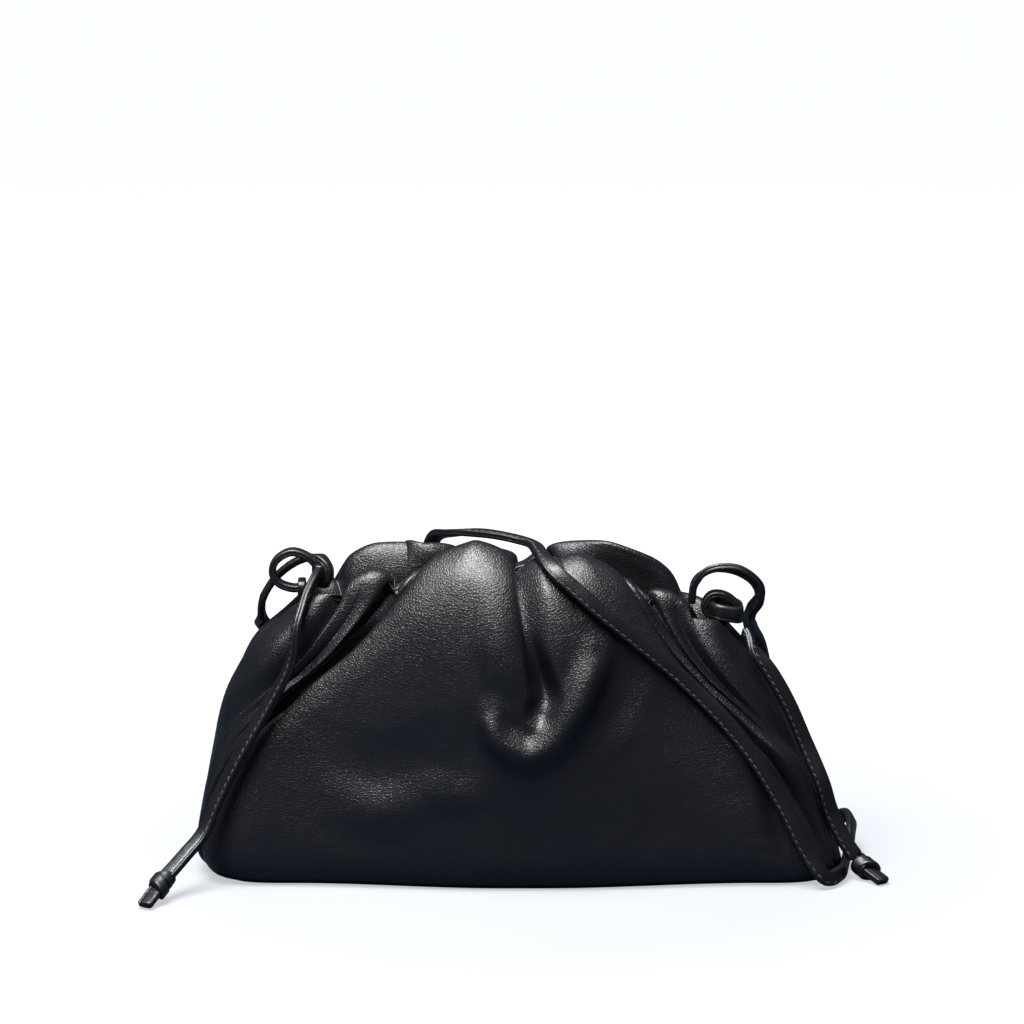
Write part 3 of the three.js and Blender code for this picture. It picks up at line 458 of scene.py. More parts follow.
def grid_piece(name, points, closed_along=False):
    """A piece made from a grid whose points are moved to their places: points is (rings, round, 3)."""
    points = np.concatenate([points, points[:, :1]], 1)
    if closed_along:
        points = np.concatenate([points, points[:1]], 0)
    columns = points.shape[1] - 1
    rows = points.shape[0] - 1
    bpy.ops.mesh.primitive_grid_add(x_subdivisions=columns, y_subdivisions=rows, size=1)
    piece = bpy.context.object
    piece.name = name
    piece.data.name = name
    mesh = piece.data
    mesh.vertices.foreach_set("co", np.ascontiguousarray(points, np.float32).ravel())
    mesh.update()
    bpy.ops.object.mode_set(mode="EDIT")
    bpy.ops.mesh.select_all(action="SELECT")
    bpy.ops.mesh.remove_doubles(threshold=SEAM_MERGE)
    bpy.ops.mesh.select_all(action="DESELECT")
    bpy.ops.object.mode_set(mode="OBJECT")
    return piece


def close_ends(piece):
    """Fills the open rings of a piece and turns every face outwards."""
    bpy.context.view_layer.objects.active = piece
    piece.select_set(True)
    bpy.ops.object.mode_set(mode="EDIT")
    bpy.ops.mesh.select_mode(type="EDGE")
    bpy.ops.mesh.select_all(action="DESELECT")
    bpy.ops.mesh.select_non_manifold(
        extend=False,
        use_wire=False,
        use_boundary=True,
        use_multi_face=False,
        use_non_contiguous=False,
        use_verts=False,
    )
    bpy.ops.mesh.fill_holes(sides=0)
    bpy.ops.mesh.select_all(action="SELECT")
    bpy.ops.mesh.normals_make_consistent(inside=False)
    bpy.ops.mesh.select_all(action="DESELECT")
    bpy.ops.mesh.select_mode(type="VERT")
    bpy.ops.object.mode_set(mode="OBJECT")
    piece.data.polygons.foreach_set("use_smooth", [True] * len(piece.data.polygons))
    piece.data.update()
    piece.select_set(False)


def place_at(x, level, is_back):
    """The place round the bag where a level's smooth skin has this x."""
    end_depth = float(depth_of("end", level))
    straight = float(reach_of(x < 0, level)) - end_depth
    across = STRAIGHT_SHARE * x / straight
    if abs(x) > straight:
        angle = math.asin(min((abs(x) - straight) / end_depth, 1) ** (1 / float(at_level("round", level))))
        across = math.copysign(STRAIGHT_SHARE + (1 - STRAIGHT_SHARE) * angle * 2 / math.pi, x)
    return 2 - across if is_back else across


HALVINGS = 30


def spot_on_skin(along, up, side):
    """A spot on the outside of the smooth skin and the way out of it."""
    x = along * HALF_WIDTH
    low, high = float(CREST_LEVEL), float(BASE_LEVEL)
    for _ in range(HALVINGS):
        found = (low + high) / 2
        if smooth_skin(place_at(x, found, side == "back"), found)[2] > up * BAG_HEIGHT:
            low = found
        else:
            high = found
    place = np.float64(place_at(x, found, side == "back"))
    return smooth_skin(place, found), skin_directions(place, np.float64(found))[1]


def lace_row(row):
    """A row of a lace's course: its point, the way its flat side faces, and how far it is turned."""
    turn = math.radians(row.get("turn", 0))
    half = (STRAP_THICKNESS * abs(math.cos(turn)) + STRAP_WIDTH * abs(math.sin(turn))) / 2
    if "side" in row:
        point, face = spot_on_skin(row["along"], row["up"], row["side"])
        return point + face * (row.get("off", 0) * STRAP_THICKNESS + half + SEAT_GAP), face, turn
    point = np.array([row["along"] * HALF_WIDTH, row["out"] * HALF_DEPTH, row.get("up", 0) * BAG_HEIGHT])
    if row.get("on_floor"):
        point[2] = half
    return point, unit(np.array(row.get("face", (0, 0, 1)), float)), turn


def knot_rows(heart, rows):
    """The rows of a knot, given in strap widths from its heart."""
    return [
        (heart + np.array(spot, float) * STRAP_WIDTH, unit(np.array(face, float)), 0.0) for spot, face in rows
    ]


def turned(vectors, axes, angles):
    """Vectors turned about unit axes."""
    c = np.cos(angles)[:, None]
    s = np.sin(angles)[:, None]
    swung = vectors * c + np.cross(axes, vectors) * s
    return swung + axes * (vectors * axes).sum(-1, keepdims=True) * (1 - c)


def lace_route(rows, closed=False, fine=24):
    """The smooth curve through a lace's rows, with the way along it and the way its flat side faces."""
    points = np.array([row[0] for row in rows])
    faces = np.array([row[1] for row in rows])
    turns = np.array([row[2] for row in rows])
    count = len(rows)
    spans = count if closed else count - 1
    places, alongs, outs = [], [], []
    for k in range(spans):
        p1, p2 = points[k], points[(k + 1) % count]
        p0 = points[k - 1] if closed or k > 0 else 2 * p1 - p2
        p3 = points[(k + 2) % count] if closed or k + 2 < count else 2 * p2 - p1
        d0, d1, d2 = (max(np.linalg.norm(a - b), 1e-9) ** 0.5 for a, b in ((p0, p1), (p1, p2), (p2, p3)))
        m1 = ((p1 - p0) / d0 - (p2 - p0) / (d0 + d1) + (p2 - p1) / d1) * d1
        m2 = ((p2 - p1) / d1 - (p3 - p1) / (d1 + d2) + (p3 - p2) / d2) * d1
        t = (np.arange(fine + (0 if closed or k < spans - 1 else 1)) / fine)[:, None]
        c2 = -3 * p1 + 3 * p2 - 2 * m1 - m2
        c3 = 2 * p1 - 2 * p2 + m1 + m2
        places.append(p1 + m1 * t + c2 * t**2 + c3 * t**3)
        along = unit(m1 + 2 * c2 * t + 3 * c3 * t**2)
        blend = smoothstep(t)
        face = faces[k] * (1 - blend) + faces[(k + 1) % count] * blend
        face = unit(face - along * (face * along).sum(-1, keepdims=True))
        angle = turns[k] + (turns[(k + 1) % count] - turns[k]) * blend[:, 0]
        alongs.append(along)
        outs.append(turned(face, along, angle))
    return np.concatenate(places), np.concatenate(alongs), np.concatenate(outs)


def even_route(route, step, closed=False):
    """The same route in even steps of length, as (points, along, face, length from the start)."""
    points, along, face = route
    if closed:
        points, along, face = (np.concatenate([a, a[:1]]) for a in (points, along, face))
    length = np.concatenate([[0], np.cumsum(np.linalg.norm(np.diff(points, axis=0), axis=1))])
    count = max(int(round(length[-1] / step)), 4)
    marks = np.linspace(0, length[-1], count + 1)
    if closed:
        marks = marks[:-1]
    mixed = [
        np.stack([np.interp(marks, length, a[:, k]) for k in range(3)], -1) for a in (points, along, face)
    ]
    return mixed[0], unit(mixed[1]), unit(mixed[2]), marks


# The lace's section, as shares of half its width and half its thickness: one edge is the rounded fold of the
# leather, and the other is the sewn edge, with a groove for the thread and the line between its two layers.
LACE_SIDE = [
    (1.0, 0.0), (0.985, 0.34), (0.93, 0.62), (0.82, 0.85), (0.66, 0.96), (0.42, 1.0), (0.12, 1.0),
    (-0.18, 0.98), (-0.4, 0.94), (-0.52, 0.84), (-0.6, 0.77), (-0.68, 0.84), (-0.78, 0.93), (-0.89, 0.88),
    (-0.965, 0.68), (-1.0, 0.42), (-0.985, 0.16), (-0.93, 0.0),
]
LACE_SECTION = np.array(LACE_SIDE + [(w, -f) for w, f in LACE_SIDE[-2:0:-1]])
# Where the thread's groove lies in the section, and the thread itself
STITCH_LINE = (-0.6, 0.77)
STITCH_PITCH = 2.7 * MM
STITCH_SHARE = 0.74
STITCH_SLANT = 0.12
STITCH_LIFT = 0.06 * MM
THREAD_WIDTH = 0.42 * MM
# The plain section of the belt loops and of the knots' small turns
PLAIN_SIDE = [
    (1.0, 0.0), (0.99, 0.4), (0.93, 0.75), (0.8, 0.95), (0.5, 1.0), (0.0, 1.0), (-0.5, 1.0), (-0.8, 0.95),
    (-0.93, 0.75), (-0.99, 0.4), (-1.0, 0.0),
]
PLAIN_SECTION = np.array(PLAIN_SIDE + [(w, -f) for w, f in PLAIN_SIDE[-2:0:-1]])


def lace_points(route, section, width, thickness, sewn=-1, ends=True, flip=None):
    """Rings of the lace's section along an even route."""
    points, along, face, length = route
    wide = unit(np.cross(face, along))
    if flip is not None:
        angle = math.pi * smoothstep(length / length[-1], *flip)
        wide, face = turned(wide, along, angle), turned(face, along, angle)
    shape = section * (1 if sewn < 0 else -1, 1)
    if sewn > 0:
        shape = shape[::-1]
    wave = 1 + 0.012 * np.sin(length / (9.1 * MM)) + 0.01 * np.sin(length / (3.7 * MM) + 1)
    halves = np.stack([wave * width / 2, (2 - wave) * thickness / 2], -1)
    rings = points[:, None] + wide[:, None] * (
        shape[:, 0] * halves[:, :1]
    )[..., None] + face[:, None] * (shape[:, 1] * halves[:, 1:])[..., None]
    if ends:
        caps = []
        for ring, point, way in ((rings[0], points[0], -along[0]), (rings[-1], points[-1], along[-1])):
            caps.append(
                [
                    point + (ring - point) * share + way * push for share,
                    push in ((0.93, 0.22 * thickness), (0.78, 0.32 * thickness))
                ]
            )
        rings = np.concatenate([np.array(caps[0][::-1]), rings, np.array(caps[1])])
    return rings


def lace_piece(
    name,
    rows,
    closed=False,
    sewn=-1,
    step=1.0 * MM,
    section=LACE_SECTION,
    width=STRAP_WIDTH,
    thickness=STRAP_THICKNESS,
    flip=None,
):
    route = even_route(lace_route(rows, closed), step, closed)
    rings = lace_points(route, section, width, thickness, sewn, ends=not closed, flip=flip)
    piece = grid_piece(name, rings, closed)
    close_ends(piece)
    return piece, route


def join_pieces(name, pieces):
    """Joins finished pieces into one."""
    bpy.ops.object.select_all(action="DESELECT")
    for piece in pieces:
        piece.select_set(True)
    bpy.context.view_layer.objects.active = pieces[0]
    bpy.ops.object.join()
    joined = bpy.context.object
    joined.name = name
    joined.data.name = name
    bpy.ops.object.select_all(action="DESELECT")
    return joined


# The belt loops' holes and the hearts of the two knots
left_end = smooth_skin(-1, CREST_LEVEL)
right_end = smooth_skin(1, CREST_LEVEL)
tab_rise = STRAP_THICKNESS / 2 + TAB_LEATHER + 3.6 * SEAT_GAP
left_hole = np.array([left_end[0] - 1.25 * TAB_WIDTH, 0, left_end[2] + tab_rise])
right_hole = np.array([right_end[0] + 0.3 * TAB_WIDTH, 0, right_end[2] + tab_rise])
left_heart = left_hole + np.array([1.15, 0, 0.95]) * STRAP_WIDTH

# The long strap's course: down behind the bag, over the mouth, down across the front, round the right corner,
# along the floor behind the bag and up to the right knot
STRAP_START = [
    ((-0.6, 1, 0.72), (0, 0.2, 1)),
    ((-0.85, 1.15, 0.7), (0, 0, 1)),
]
STRAP_COURSE = [
    dict(along=-0.7, out=0.19, up=0.898, face=(-0.1, 0, 1)),
    dict(along=-0.735, out=0.19, up=0.877, face=(-0.6, 0, 1)),
    dict(along=-0.775, out=0.19, up=0.84, face=(-0.8, 0, 0.7)),
    dict(along=-0.808, out=0.2, up=0.785, face=(-1, 0, 0.1)),
    dict(along=-0.815, out=0.31, up=0.735, face=(-1, 0.1, 0)),
    dict(side="back", along=-0.79, up=0.67, off=1.1),
    dict(side="back", along=-0.67, up=0.55, off=0.2),
    dict(side="back", along=-0.5, up=0.48),
    dict(side="back", along=-0.37, up=0.59),
    dict(side="back", along=-0.3, up=0.82),
    dict(along=-0.275, out=0.62, up=0.94, face=(0.1, 0.8, 1)),
    dict(along=-0.22, out=0.4, up=0.968, face=(0.1, 0.2, 1)),
    dict(along=-0.13, out=0.2, up=0.982, face=(0, 0, 1)),
    dict(along=-0.045, out=0.05, up=0.98, face=(0.1, 0, 1)),
    dict(along=0.03, out=-0.12, up=0.971, face=(0.3, -0.1, 1)),
    dict(along=0.058, out=-0.46, up=0.965, face=(0.3, -0.4, 1)),
    dict(side="front", along=0.098, up=0.925),
    dict(side="front", along=0.17, up=0.868),
    dict(side="front", along=0.245, up=0.806),
    dict(side="front", along=0.364, up=0.712),
    dict(side="front", along=0.488, up=0.612),
    dict(side="front", along=0.609, up=0.502),
    dict(side="front", along=0.705, up=0.386),
    dict(side="front", along=0.798, up=0.237),
    dict(side="front", along=0.868, up=0.108, off=0.2),
    dict(along=0.935, out=-0.88, up=0.034, face=(0.6, -0.8, 0.3)),
    dict(along=0.983, out=-0.705, up=0.032, face=(0.9, -0.5, 0)),
    dict(along=1.0115, out=-0.3, up=0.037, face=(1, -0.2, 0)),
    dict(along=1.035, out=0.1, up=0.085, face=(1, 0, 0.3)),
    dict(along=1.04, out=0.45, up=0.1, face=(1, 0, 0.6)),
    dict(along=0.99, out=0.9, up=0.055, face=(0.5, 0.3, 1)),
    dict(along=0.87, out=1.3, up=0.02),
    dict(along=0.6, out=1.65, up=0.0125),
    dict(along=0.1, out=1.8, up=0.0125),
    dict(along=-0.45, out=1.75, on_floor=True),
    dict(along=-0.75, out=1.85, on_floor=True),
    dict(along=-0.84, out=2.15, on_floor=True),
    dict(along=-0.72, out=2.42, on_floor=True),
    dict(along=-0.4, out=2.5, up=0.0118),
    dict(along=0.2, out=2.45, up=0.0125),
    dict(along=0.62, out=2.25, up=0.02),
    dict(along=0.8, out=1.85, up=0.06, face=(0.5, 0.3, 1)),
    dict(along=0.81, out=1.45, up=0.22, face=(0.4, 0.8, 0.5)),
    dict(along=0.79, out=1.05, up=0.42, face=(0.3, 1, 0.2)),
    dict(along=0.75, out=0.65, up=0.61, face=(0.3, 1, 0.1)),
    dict(along=0.715, out=0.33, up=0.7, face=(0.5, 0.9, 0)),
    dict(along=0.715, out=0.1, up=0.76, face=(1, 0.3, 0)),
    dict(along=0.737, out=0.02, up=0.8, face=(1, 0, 0.1), turn=10),
    dict(along=0.727, out=-0.02, up=0.845, face=(0.8, 0, 0.6), turn=30),
    dict(along=0.665, out=-0.05, up=0.888, face=(0.2, -0.1, 1), turn=40),
    dict(along=0.585, out=-0.05, up=0.89, face=(-0.2, -0.2, 1), turn=30),
    dict(along=0.537, out=-0.02, up=0.85, face=(-1, -0.2, 0.4), turn=10),
    dict(along=0.527, out=0, up=0.795, face=(-1, 0, 0)),
]
LEFT_TAIL_START = [
    ((-0.05, -0.55, 0), (-1, -0.3, 0)),
    ((-0.2, -1.35, 0), (-1, -0.3, 0)),
    ((-0.66, -2.6, -0.6), (-1, -0.3, 0)),
]
LEFT_TAIL_COURSE = [
    dict(side="front", along=-0.675, up=0.75, turn=60, off=0.75),
    dict(side="front", along=-0.705, up=0.65, turn=60, off=0.15),
    dict(along=-0.805, out=-0.77, up=0.495, face=(-0.8, -0.6, 0)),
    dict(along=-0.86, out=-0.8, up=0.405, face=(-0.8, -0.6, 0)),
    dict(along=-0.935, out=-0.85, up=0.265, face=(-0.7, -0.7, 0.2)),
    dict(along=-0.98, out=-0.92, up=0.17, face=(-0.6, -0.7, 0.3)),
    dict(along=-1.03, out=-1.05, up=0.12, face=(-0.5, -0.7, 0.5)),
    dict(along=-1.075, out=-1.2, up=0.08, face=(-0.4, -0.7, 0.6)),
    dict(along=-1.1, out=-1.29, up=0.06, face=(-0.4, -0.7, 0.6)),
]
RIGHT_TAIL_COURSE = [
    dict(along=0.69, out=-0.2, up=0.71, face=(1, -0.3, -0.3)),
    dict(along=0.727, out=-0.39, up=0.66, face=(0.8, -0.8, 0)),
    dict(along=0.77, out=-0.43, up=0.605, face=(0.5, -1, 0)),
    dict(along=0.826, out=-0.45, up=0.51, face=(0.4, -1, 0)),
    dict(along=0.874, out=-0.46, up=0.405, face=(0.3, -1, 0)),
    dict(along=0.927, out=-0.535, up=0.29, face=(0.3, -1, 0)),
    dict(along=0.958, out=-0.51, up=0.195, face=(0.3, -1, 0.1)),
    dict(along=1.01, out=-0.55, up=0.1, face=(0.3, -1, 0.3)),
    dict(along=1.06, out=-0.575, up=0.04, face=(0.3, -1, 0.3)),
]

# The tails end in stopper knots: each heart, and the tip of the knot's short free end
left_stop = np.array([-1.1 * HALF_WIDTH, -1.29 * HALF_DEPTH, 1.15 * STRAP_WIDTH])
left_tip = np.array([-1.14 * HALF_WIDTH, -1.52 * HALF_DEPTH, 0.35 * STRAP_WIDTH])
right_stop = np.array([1.06 * HALF_WIDTH, -0.575 * HALF_DEPTH, 0.84 * STRAP_WIDTH])
right_tip = np.array([1.112 * HALF_WIDTH, -0.76 * HALF_DEPTH, 0.3 * STRAP_WIDTH])


def paint(code):
    """An sRGB hex colour as linear values."""
    parts = [int(code[k : k + 2], 16) / 255 for k in (1, 3, 5)]
    return [v / 12.92 if v <= 0.04045 else ((v + 0.055) / 1.055) ** 2.4 for v in parts] + [1]


def new_material(name):
    material = bpy.data.materials.new(name)
    material.use_nodes = True
    tree = material.node_tree
    tree.nodes.clear()
    return material, tree


def add_node(tree, kind, inputs=None, **settings):
    """Adds a node, sets its settings, and sets or links its inputs."""
    node = tree.nodes.new(kind)
    for key, value in settings.items():
        setattr(node, key, value)
    for key, value in (inputs or {}).items():
        if isinstance(value, bpy.types.NodeSocket):
            tree.links.new(value, node.inputs[key])
        else:
            node.inputs[key].default_value = value
    return node


# The sizes of the leather's creases, of its slack places and of its clouds of tone
CREASE_SIZE = 6 * MM
SLACK_SIZE = 26 * MM
CLOUD_SIZE = 22 * MM
SLACK_SHARE = 12


def grained_leather(name, dark, light, grain, grain_height, wrinkle_height, roughness, specular):
    """Pigmented calf leather with a pebbled grain. grain is the width of a pebble."""
    material, tree = new_material(name)
    place = add_node(tree, "ShaderNodeTexCoord").outputs["Object"]
    warp = add_node(tree, "ShaderNodeTexNoise", {"Vector": place, "Scale": 0.6 / grain, "Detail": 2.0})
    shift = add_node(
        tree, "ShaderNodeVectorMath", {0: warp.outputs["Color"], 1: (0.5, 0.5, 0.5)}, operation="SUBTRACT",
    )
    shifted = add_node(
        tree,
        "ShaderNodeVectorMath",
        {0: shift.outputs[0], 1: (0.7 * grain,) * 3, 2: place},
        operation="MULTIPLY_ADD",
    )
    pebbles = add_node(
        tree,
        "ShaderNodeTexVoronoi",
        {"Vector": shifted.outputs[0], "Scale": 1 / grain, "Randomness": 0.95},
        feature="DISTANCE_TO_EDGE",
    )
    rounded = add_node(
        tree,
        "ShaderNodeMapRange",
        {"Value": pebbles.outputs["Distance"], "From Max": 0.3},
        interpolation_type="SMOOTHERSTEP",
    )
    pores = add_node(
        tree, "ShaderNodeTexNoise", {"Vector": place, "Scale": 2.2 / grain, "Detail": 3.0, "Roughness": 0.6},
    )
    height = add_node(
        tree,
        "ShaderNodeMath",
        {0: pores.outputs["Fac"], 1: 0.45, 2: rounded.outputs[0]},
        operation="MULTIPLY_ADD",
    )
    creases = add_node(
        tree,
        "ShaderNodeTexNoise",
        {"Vector": place, "Scale": 1 / CREASE_SIZE, "Detail": 4.0, "Roughness": 0.55, "Distortion": 0.6},
    )
    slack = add_node(
        tree,
        "ShaderNodeTexNoise",
        {"Vector": place, "Scale": 1 / SLACK_SIZE, "Detail": 2.0, "Roughness": 0.45},
    )
    uneven = add_node(
        tree,
        "ShaderNodeBump",
        {"Height": slack.outputs["Fac"], "Distance": SLACK_SHARE * wrinkle_height, "Strength": 1.0},
    )
    soft = add_node(
        tree,
        "ShaderNodeBump",
        {
            "Height": creases.outputs["Fac"],
            "Distance": wrinkle_height,
            "Strength": 1.0,
            "Normal": uneven.outputs[0],
        },
    )
    normal = soft.outputs[0]
    fine = add_node(
        tree,
        "ShaderNodeBump",
        {"Height": height.outputs[0], "Distance": grain_height, "Strength": 1.0, "Normal": normal},
    )
    clouds = add_node(
        tree,
        "ShaderNodeTexNoise",
        {"Vector": place, "Scale": 1 / CLOUD_SIZE, "Detail": 4.0, "Roughness": 0.6},
    )
    tone = add_node(
        tree, "ShaderNodeMapRange", {"Value": clouds.outputs["Fac"], "From Min": 0.35, "From Max": 0.65},
    )
    shade = add_node(
        tree, "ShaderNodeMath", {0: rounded.outputs[0], 1: tone.outputs[0]}, operation="MULTIPLY",
    )
    colour = add_node(
        tree,
        "ShaderNodeMix",
        {"Factor": shade.outputs[0], "A": paint(dark), "B": paint(light)},
        data_type="RGBA",
    )
    dull = add_node(
        tree,
        "ShaderNodeMapRange",
        {"Value": shade.outputs[0], "To Min": roughness + 0.1, "To Max": roughness - 0.04},
    )
    shader = add_node(
        tree,
        "ShaderNodeBsdfPrincipled",
        {
            "Base Color": colour.outputs["Result"],
            "Roughness": dull.outputs[0],
            "Normal": fine.outputs[0],
            "IOR": 1.5,
            "Specular IOR Level": specular,
        },
    )
    add_node(tree, "ShaderNodeOutputMaterial", {"Surface": shader.outputs[0]})
    return material


# Nappa: tumbled calf leather, dyed through and thinly finished. To the eye it is a near-black with a cool cast
# and a broad soft shine that breaks up over a small pebbled grain. Its real pebbles are 0.5 to 0.8 mm wide, and
# they are drawn a little coarser so that they show.
body_leather = grained_leather(
    "grained nappa leather", "#07090d", "#0b0e14", 0.95 * MM, 0.06 * MM, 0.09 * MM, 0.33, 0.5,
)
# The lace is the same leather, pared thin, folded over, sewn and pressed: its grain is stretched finer and
# flatter, and the press leaves it a little shinier. The grain is drawn coarser than the real 0.3 mm.
lace_leather = grained_leather(
    "folded nappa lace", "#08090c", "#0d0f14", 0.6 * MM, 0.03 * MM, 0.05 * MM, 0.3, 0.5,
)
# Waxed polyester thread: a dark grey that catches more light than the leather. Its twist is too fine to show,
# so it is drawn as a coarser roughness of the surface.
thread_material = grained_leather(
    "waxed polyester thread", "#3b3a40", "#5a5960", 0.3 * MM, 0.03 * MM, 0.05 * MM, 0.5, 0.4,
)


def nickel_plate():
    """Nickel-plated steel bar, drawn along its length: a warm grey metal whose soft shine runs in streaks."""
    material, tree = new_material("nickel-plated drawn steel")
    place = add_node(tree, "ShaderNodeTexCoord").outputs["Object"]
    stretched = add_node(tree, "ShaderNodeMapping", {"Vector": place, "Scale": (0.04, 1, 1)})
    streaks = add_node(
        tree, "ShaderNodeTexNoise", {"Vector": stretched.outputs[0], "Scale": 1 / (0.5 * MM), "Detail": 3.0},
    )
    dull = add_node(
        tree, "ShaderNodeMapRange", {"Value": streaks.outputs["Fac"], "To Min": 0.25, "To Max": 0.45},
    )
    bump = add_node(tree, "ShaderNodeBump", {"Height": streaks.outputs["Fac"], "Distance": 0.01 * MM})
    shader = add_node(
        tree,
        "ShaderNodeBsdfPrincipled",
        {
            "Base Color": paint("#8d8e92"),
            "Metallic": 1.0,
            "Roughness": dull.outputs[0],
            "Normal": bump.outputs[0],
        },
    )
    add_node(tree, "ShaderNodeOutputMaterial", {"Surface": shader.outputs[0]})
    return material


# The two rows of seam in a gusset: their places round the bag, half their width there, and their height
SEAM_PLACES = (0.885, 0.925)
SEAM_HALF_WIDTH = 0.006
SEAM_HEIGHT = 0.45 * MM


def seam_relief(place, level):
    """Two close rows of welted seam that run down each gusset just in front of its end."""
    rows = sum(np.exp(-(((np.abs(place) - at) / SEAM_HALF_WIDTH) ** 2)) for at in SEAM_PLACES)
    return SEAM_HEIGHT * rows * smoothstep(level, 3.6, 4.6) * (1 - smoothstep(level, 9.5, 10.5))


INNER_RINGS = 46


def pouch_body():
    """The gathered leather body: one wall, turned over at the lip, on a flat base."""
    rings = [row[-1] for row in LEVELS.values()]
    outer_levels = np.concatenate([i + np.arange(n) / n for i, n in enumerate(rings) if n] + [[BASE_LEVEL]])
    inner_levels = np.linspace(0, 1, INNER_RINGS) ** 0.9 * BASE_LEVEL
    outer, places = skin_grid(outer_levels)
    _, way_out = skin_directions(places, outer_levels[:, None])
    outer = outer + way_out * seam_relief(places, outer_levels[:, None])[..., None]
    inner, inner_places = skin_grid(inner_levels, with_laps=False)
    _, out = skin_directions(inner_places, inner_levels[:, None])
    inner = inner - out * LEATHER_WALL
    inner[-1, :, 2] = LEATHER_WALL
    outer[-1, :, 2] = 0
    middle = (outer[0] + inner[0]) / 2 - np.array([0, 0, 0.3 * LEATHER_WALL])
    low = [outer[-1] * (share, share, 1) for share in (0.35, 0.7)]
    inside_low = [inner[-1] * (share, share, 1) for share in (0.7, 0.35)]
    stack = np.concatenate([np.array(low), outer[::-1], middle[None], inner, np.array(inside_low)])
    piece = grid_piece("gathered_body", stack)
    close_ends(piece)
    return piece


def outside_lump(route, centre, radii):
    """Which points of an even route lie outside a round lump."""
    return (((route[0] - centre) / radii) ** 2).sum(-1) > 1


def tail_piece(name, rows, start_lump, end_lump, sewn):
    """A tail of lace that runs from just inside one knot to just inside another."""
    route = even_route(lace_route(rows), 1.0 * MM)
    keep = np.ones(len(route[0]), bool)
    for lump in (start_lump, end_lump):
        if lump:
            keep &= outside_lump(route, *lump)
    route = tuple(a[keep] for a in route)
    piece = grid_piece(name, lace_points(route, LACE_SECTION, STRAP_WIDTH, STRAP_THICKNESS, sewn))
    close_ends(piece)
    return piece, route


KNOT_STEP = 0.6 * MM
# The tilt, the place along the tail and the radius of a stopper knot's two turns, in strap widths
STOPPER_TURNS = ((0.34, 0.16, 0.5), (-0.3, -0.2, 0.44))


def stopper_knot(name, heart, tip):
    """A stopper knot: two crossing turns of lace round the heart, and the short free end."""
    along = unit(tip - heart)
    level = unit(np.cross((0, 0, 1), along))
    over = np.cross(along, level)
    parts = []
    for tilt, shift, radius in STOPPER_TURNS:
        rows = []
        for k in range(8):
            c, s = math.cos(k * math.pi / 4), math.sin(k * math.pi / 4)
            face = level * c + over * s
            rows.append(
                (heart + face * radius * STRAP_WIDTH + along * (tilt * c + shift) * STRAP_WIDTH, face, 0.0)
            )
        parts.append(
            lace_piece(
                name,
                rows,
                closed=True,
                step=KNOT_STEP,
                section=PLAIN_SECTION,
                width=0.8 * STRAP_WIDTH,
                thickness=0.85 * STRAP_THICKNESS,
            )[0]
        )
    end = [(heart, over, 0.0), ((heart + tip) / 2, over, 0.0), (tip, over, 0.0)]
    parts.append(lace_piece(name, end, step=KNOT_STEP)[0])
    return join_pieces(name, parts)


def belt_loop(name, centre):
    """A leather belt loop at an end of the mouth: a flat closed ring."""
    half_hole = (np.array([STRAP_WIDTH, STRAP_THICKNESS]) + 3 * SEAT_GAP) / 2
    rows = []
    for k in range(12):
        c, s = math.cos(k * math.pi / 6), math.sin(k * math.pi / 6)
        y = math.copysign(abs(c) ** 0.6, c) * (half_hole[0] + TAB_LEATHER / 2)
        z = math.copysign(abs(s) ** 0.6, s) * (half_hole[1] + TAB_LEATHER / 2)
        rows.append((centre + np.array([0, y, z]), np.array([0, c, s]), 0.0))
    return lace_piece(
        name,
        rows,
        closed=True,
        step=0.5 * MM,
        section=PLAIN_SECTION,
        width=TAB_WIDTH,
        thickness=TAB_LEATHER,
    )[0]


LEFT_LOOP = [
    ((-0.1, 0, 0.4), (0.2, 0, 1)),
    ((-0.8, 0, 1.05), (0.1, 0, 1)),
    ((-1.8, 0, 1.35), (-0.2, 0, 1)),
    ((-2.75, 0, 0.8), (-0.9, 0, 0.6)),
    ((-3, 0, 0.05), (-1, 0, 0)),
    ((-2.6, 0, -0.65), (-0.8, 0, -0.6)),
    ((-1.75, 0, -0.97), (0, 0, -1)),
    ((-1.15, 0, -0.95), (0, 0, -1)),
    ((-0.6, 0, -0.9), (0, 0, -1)),
    ((-0.1, 0, -0.35), (0.5, 0, -0.8)),
]
LEFT_WRAP = [
    ((-0.5, 0.75, 0.75), (0, 0.2, 1)),
    ((0, 0.1, 0.95), (0.2, 0, 1)),
    ((0.55, -0.35, 0.4), (1, -0.2, 0.5)),
    ((0.55, -0.35, -0.4), (1, -0.2, -0.2)),
    ((0.2, 0.1, -0.6), (0.3, 0, -1)),
]
LEFT_HEART_TURNS = [
    [
        ((0.28 * math.cos(a), 0.5 * math.sin(a), 0.1), (math.cos(a), math.sin(a), 0))
        for a in np.arange(8) * math.pi / 4
    ],
    [
        ((0.22 * math.cos(a), 0, 0.48 * math.sin(a)), (math.cos(a), 0, math.sin(a)))
        for a in np.arange(8) * math.pi / 4
    ],
]
RIGHT_RING = [
    ((-1.25, 0, 0.55), (-1, 0, 0)),
    ((-0.8, 0, 1.35), (-0.4, 0, 1)),
    ((0.1, 0, 1.3), (0.4, 0, 1)),
    ((0.85, 0, 0.6), (1, 0, 0.3)),
    ((0.6, 0, 0.05), (0.6, 0, -1)),
    ((0, 0, 0), (0, 0, -1)),
    ((-0.75, 0, 0.02), (-0.2, 0, -1)),
]
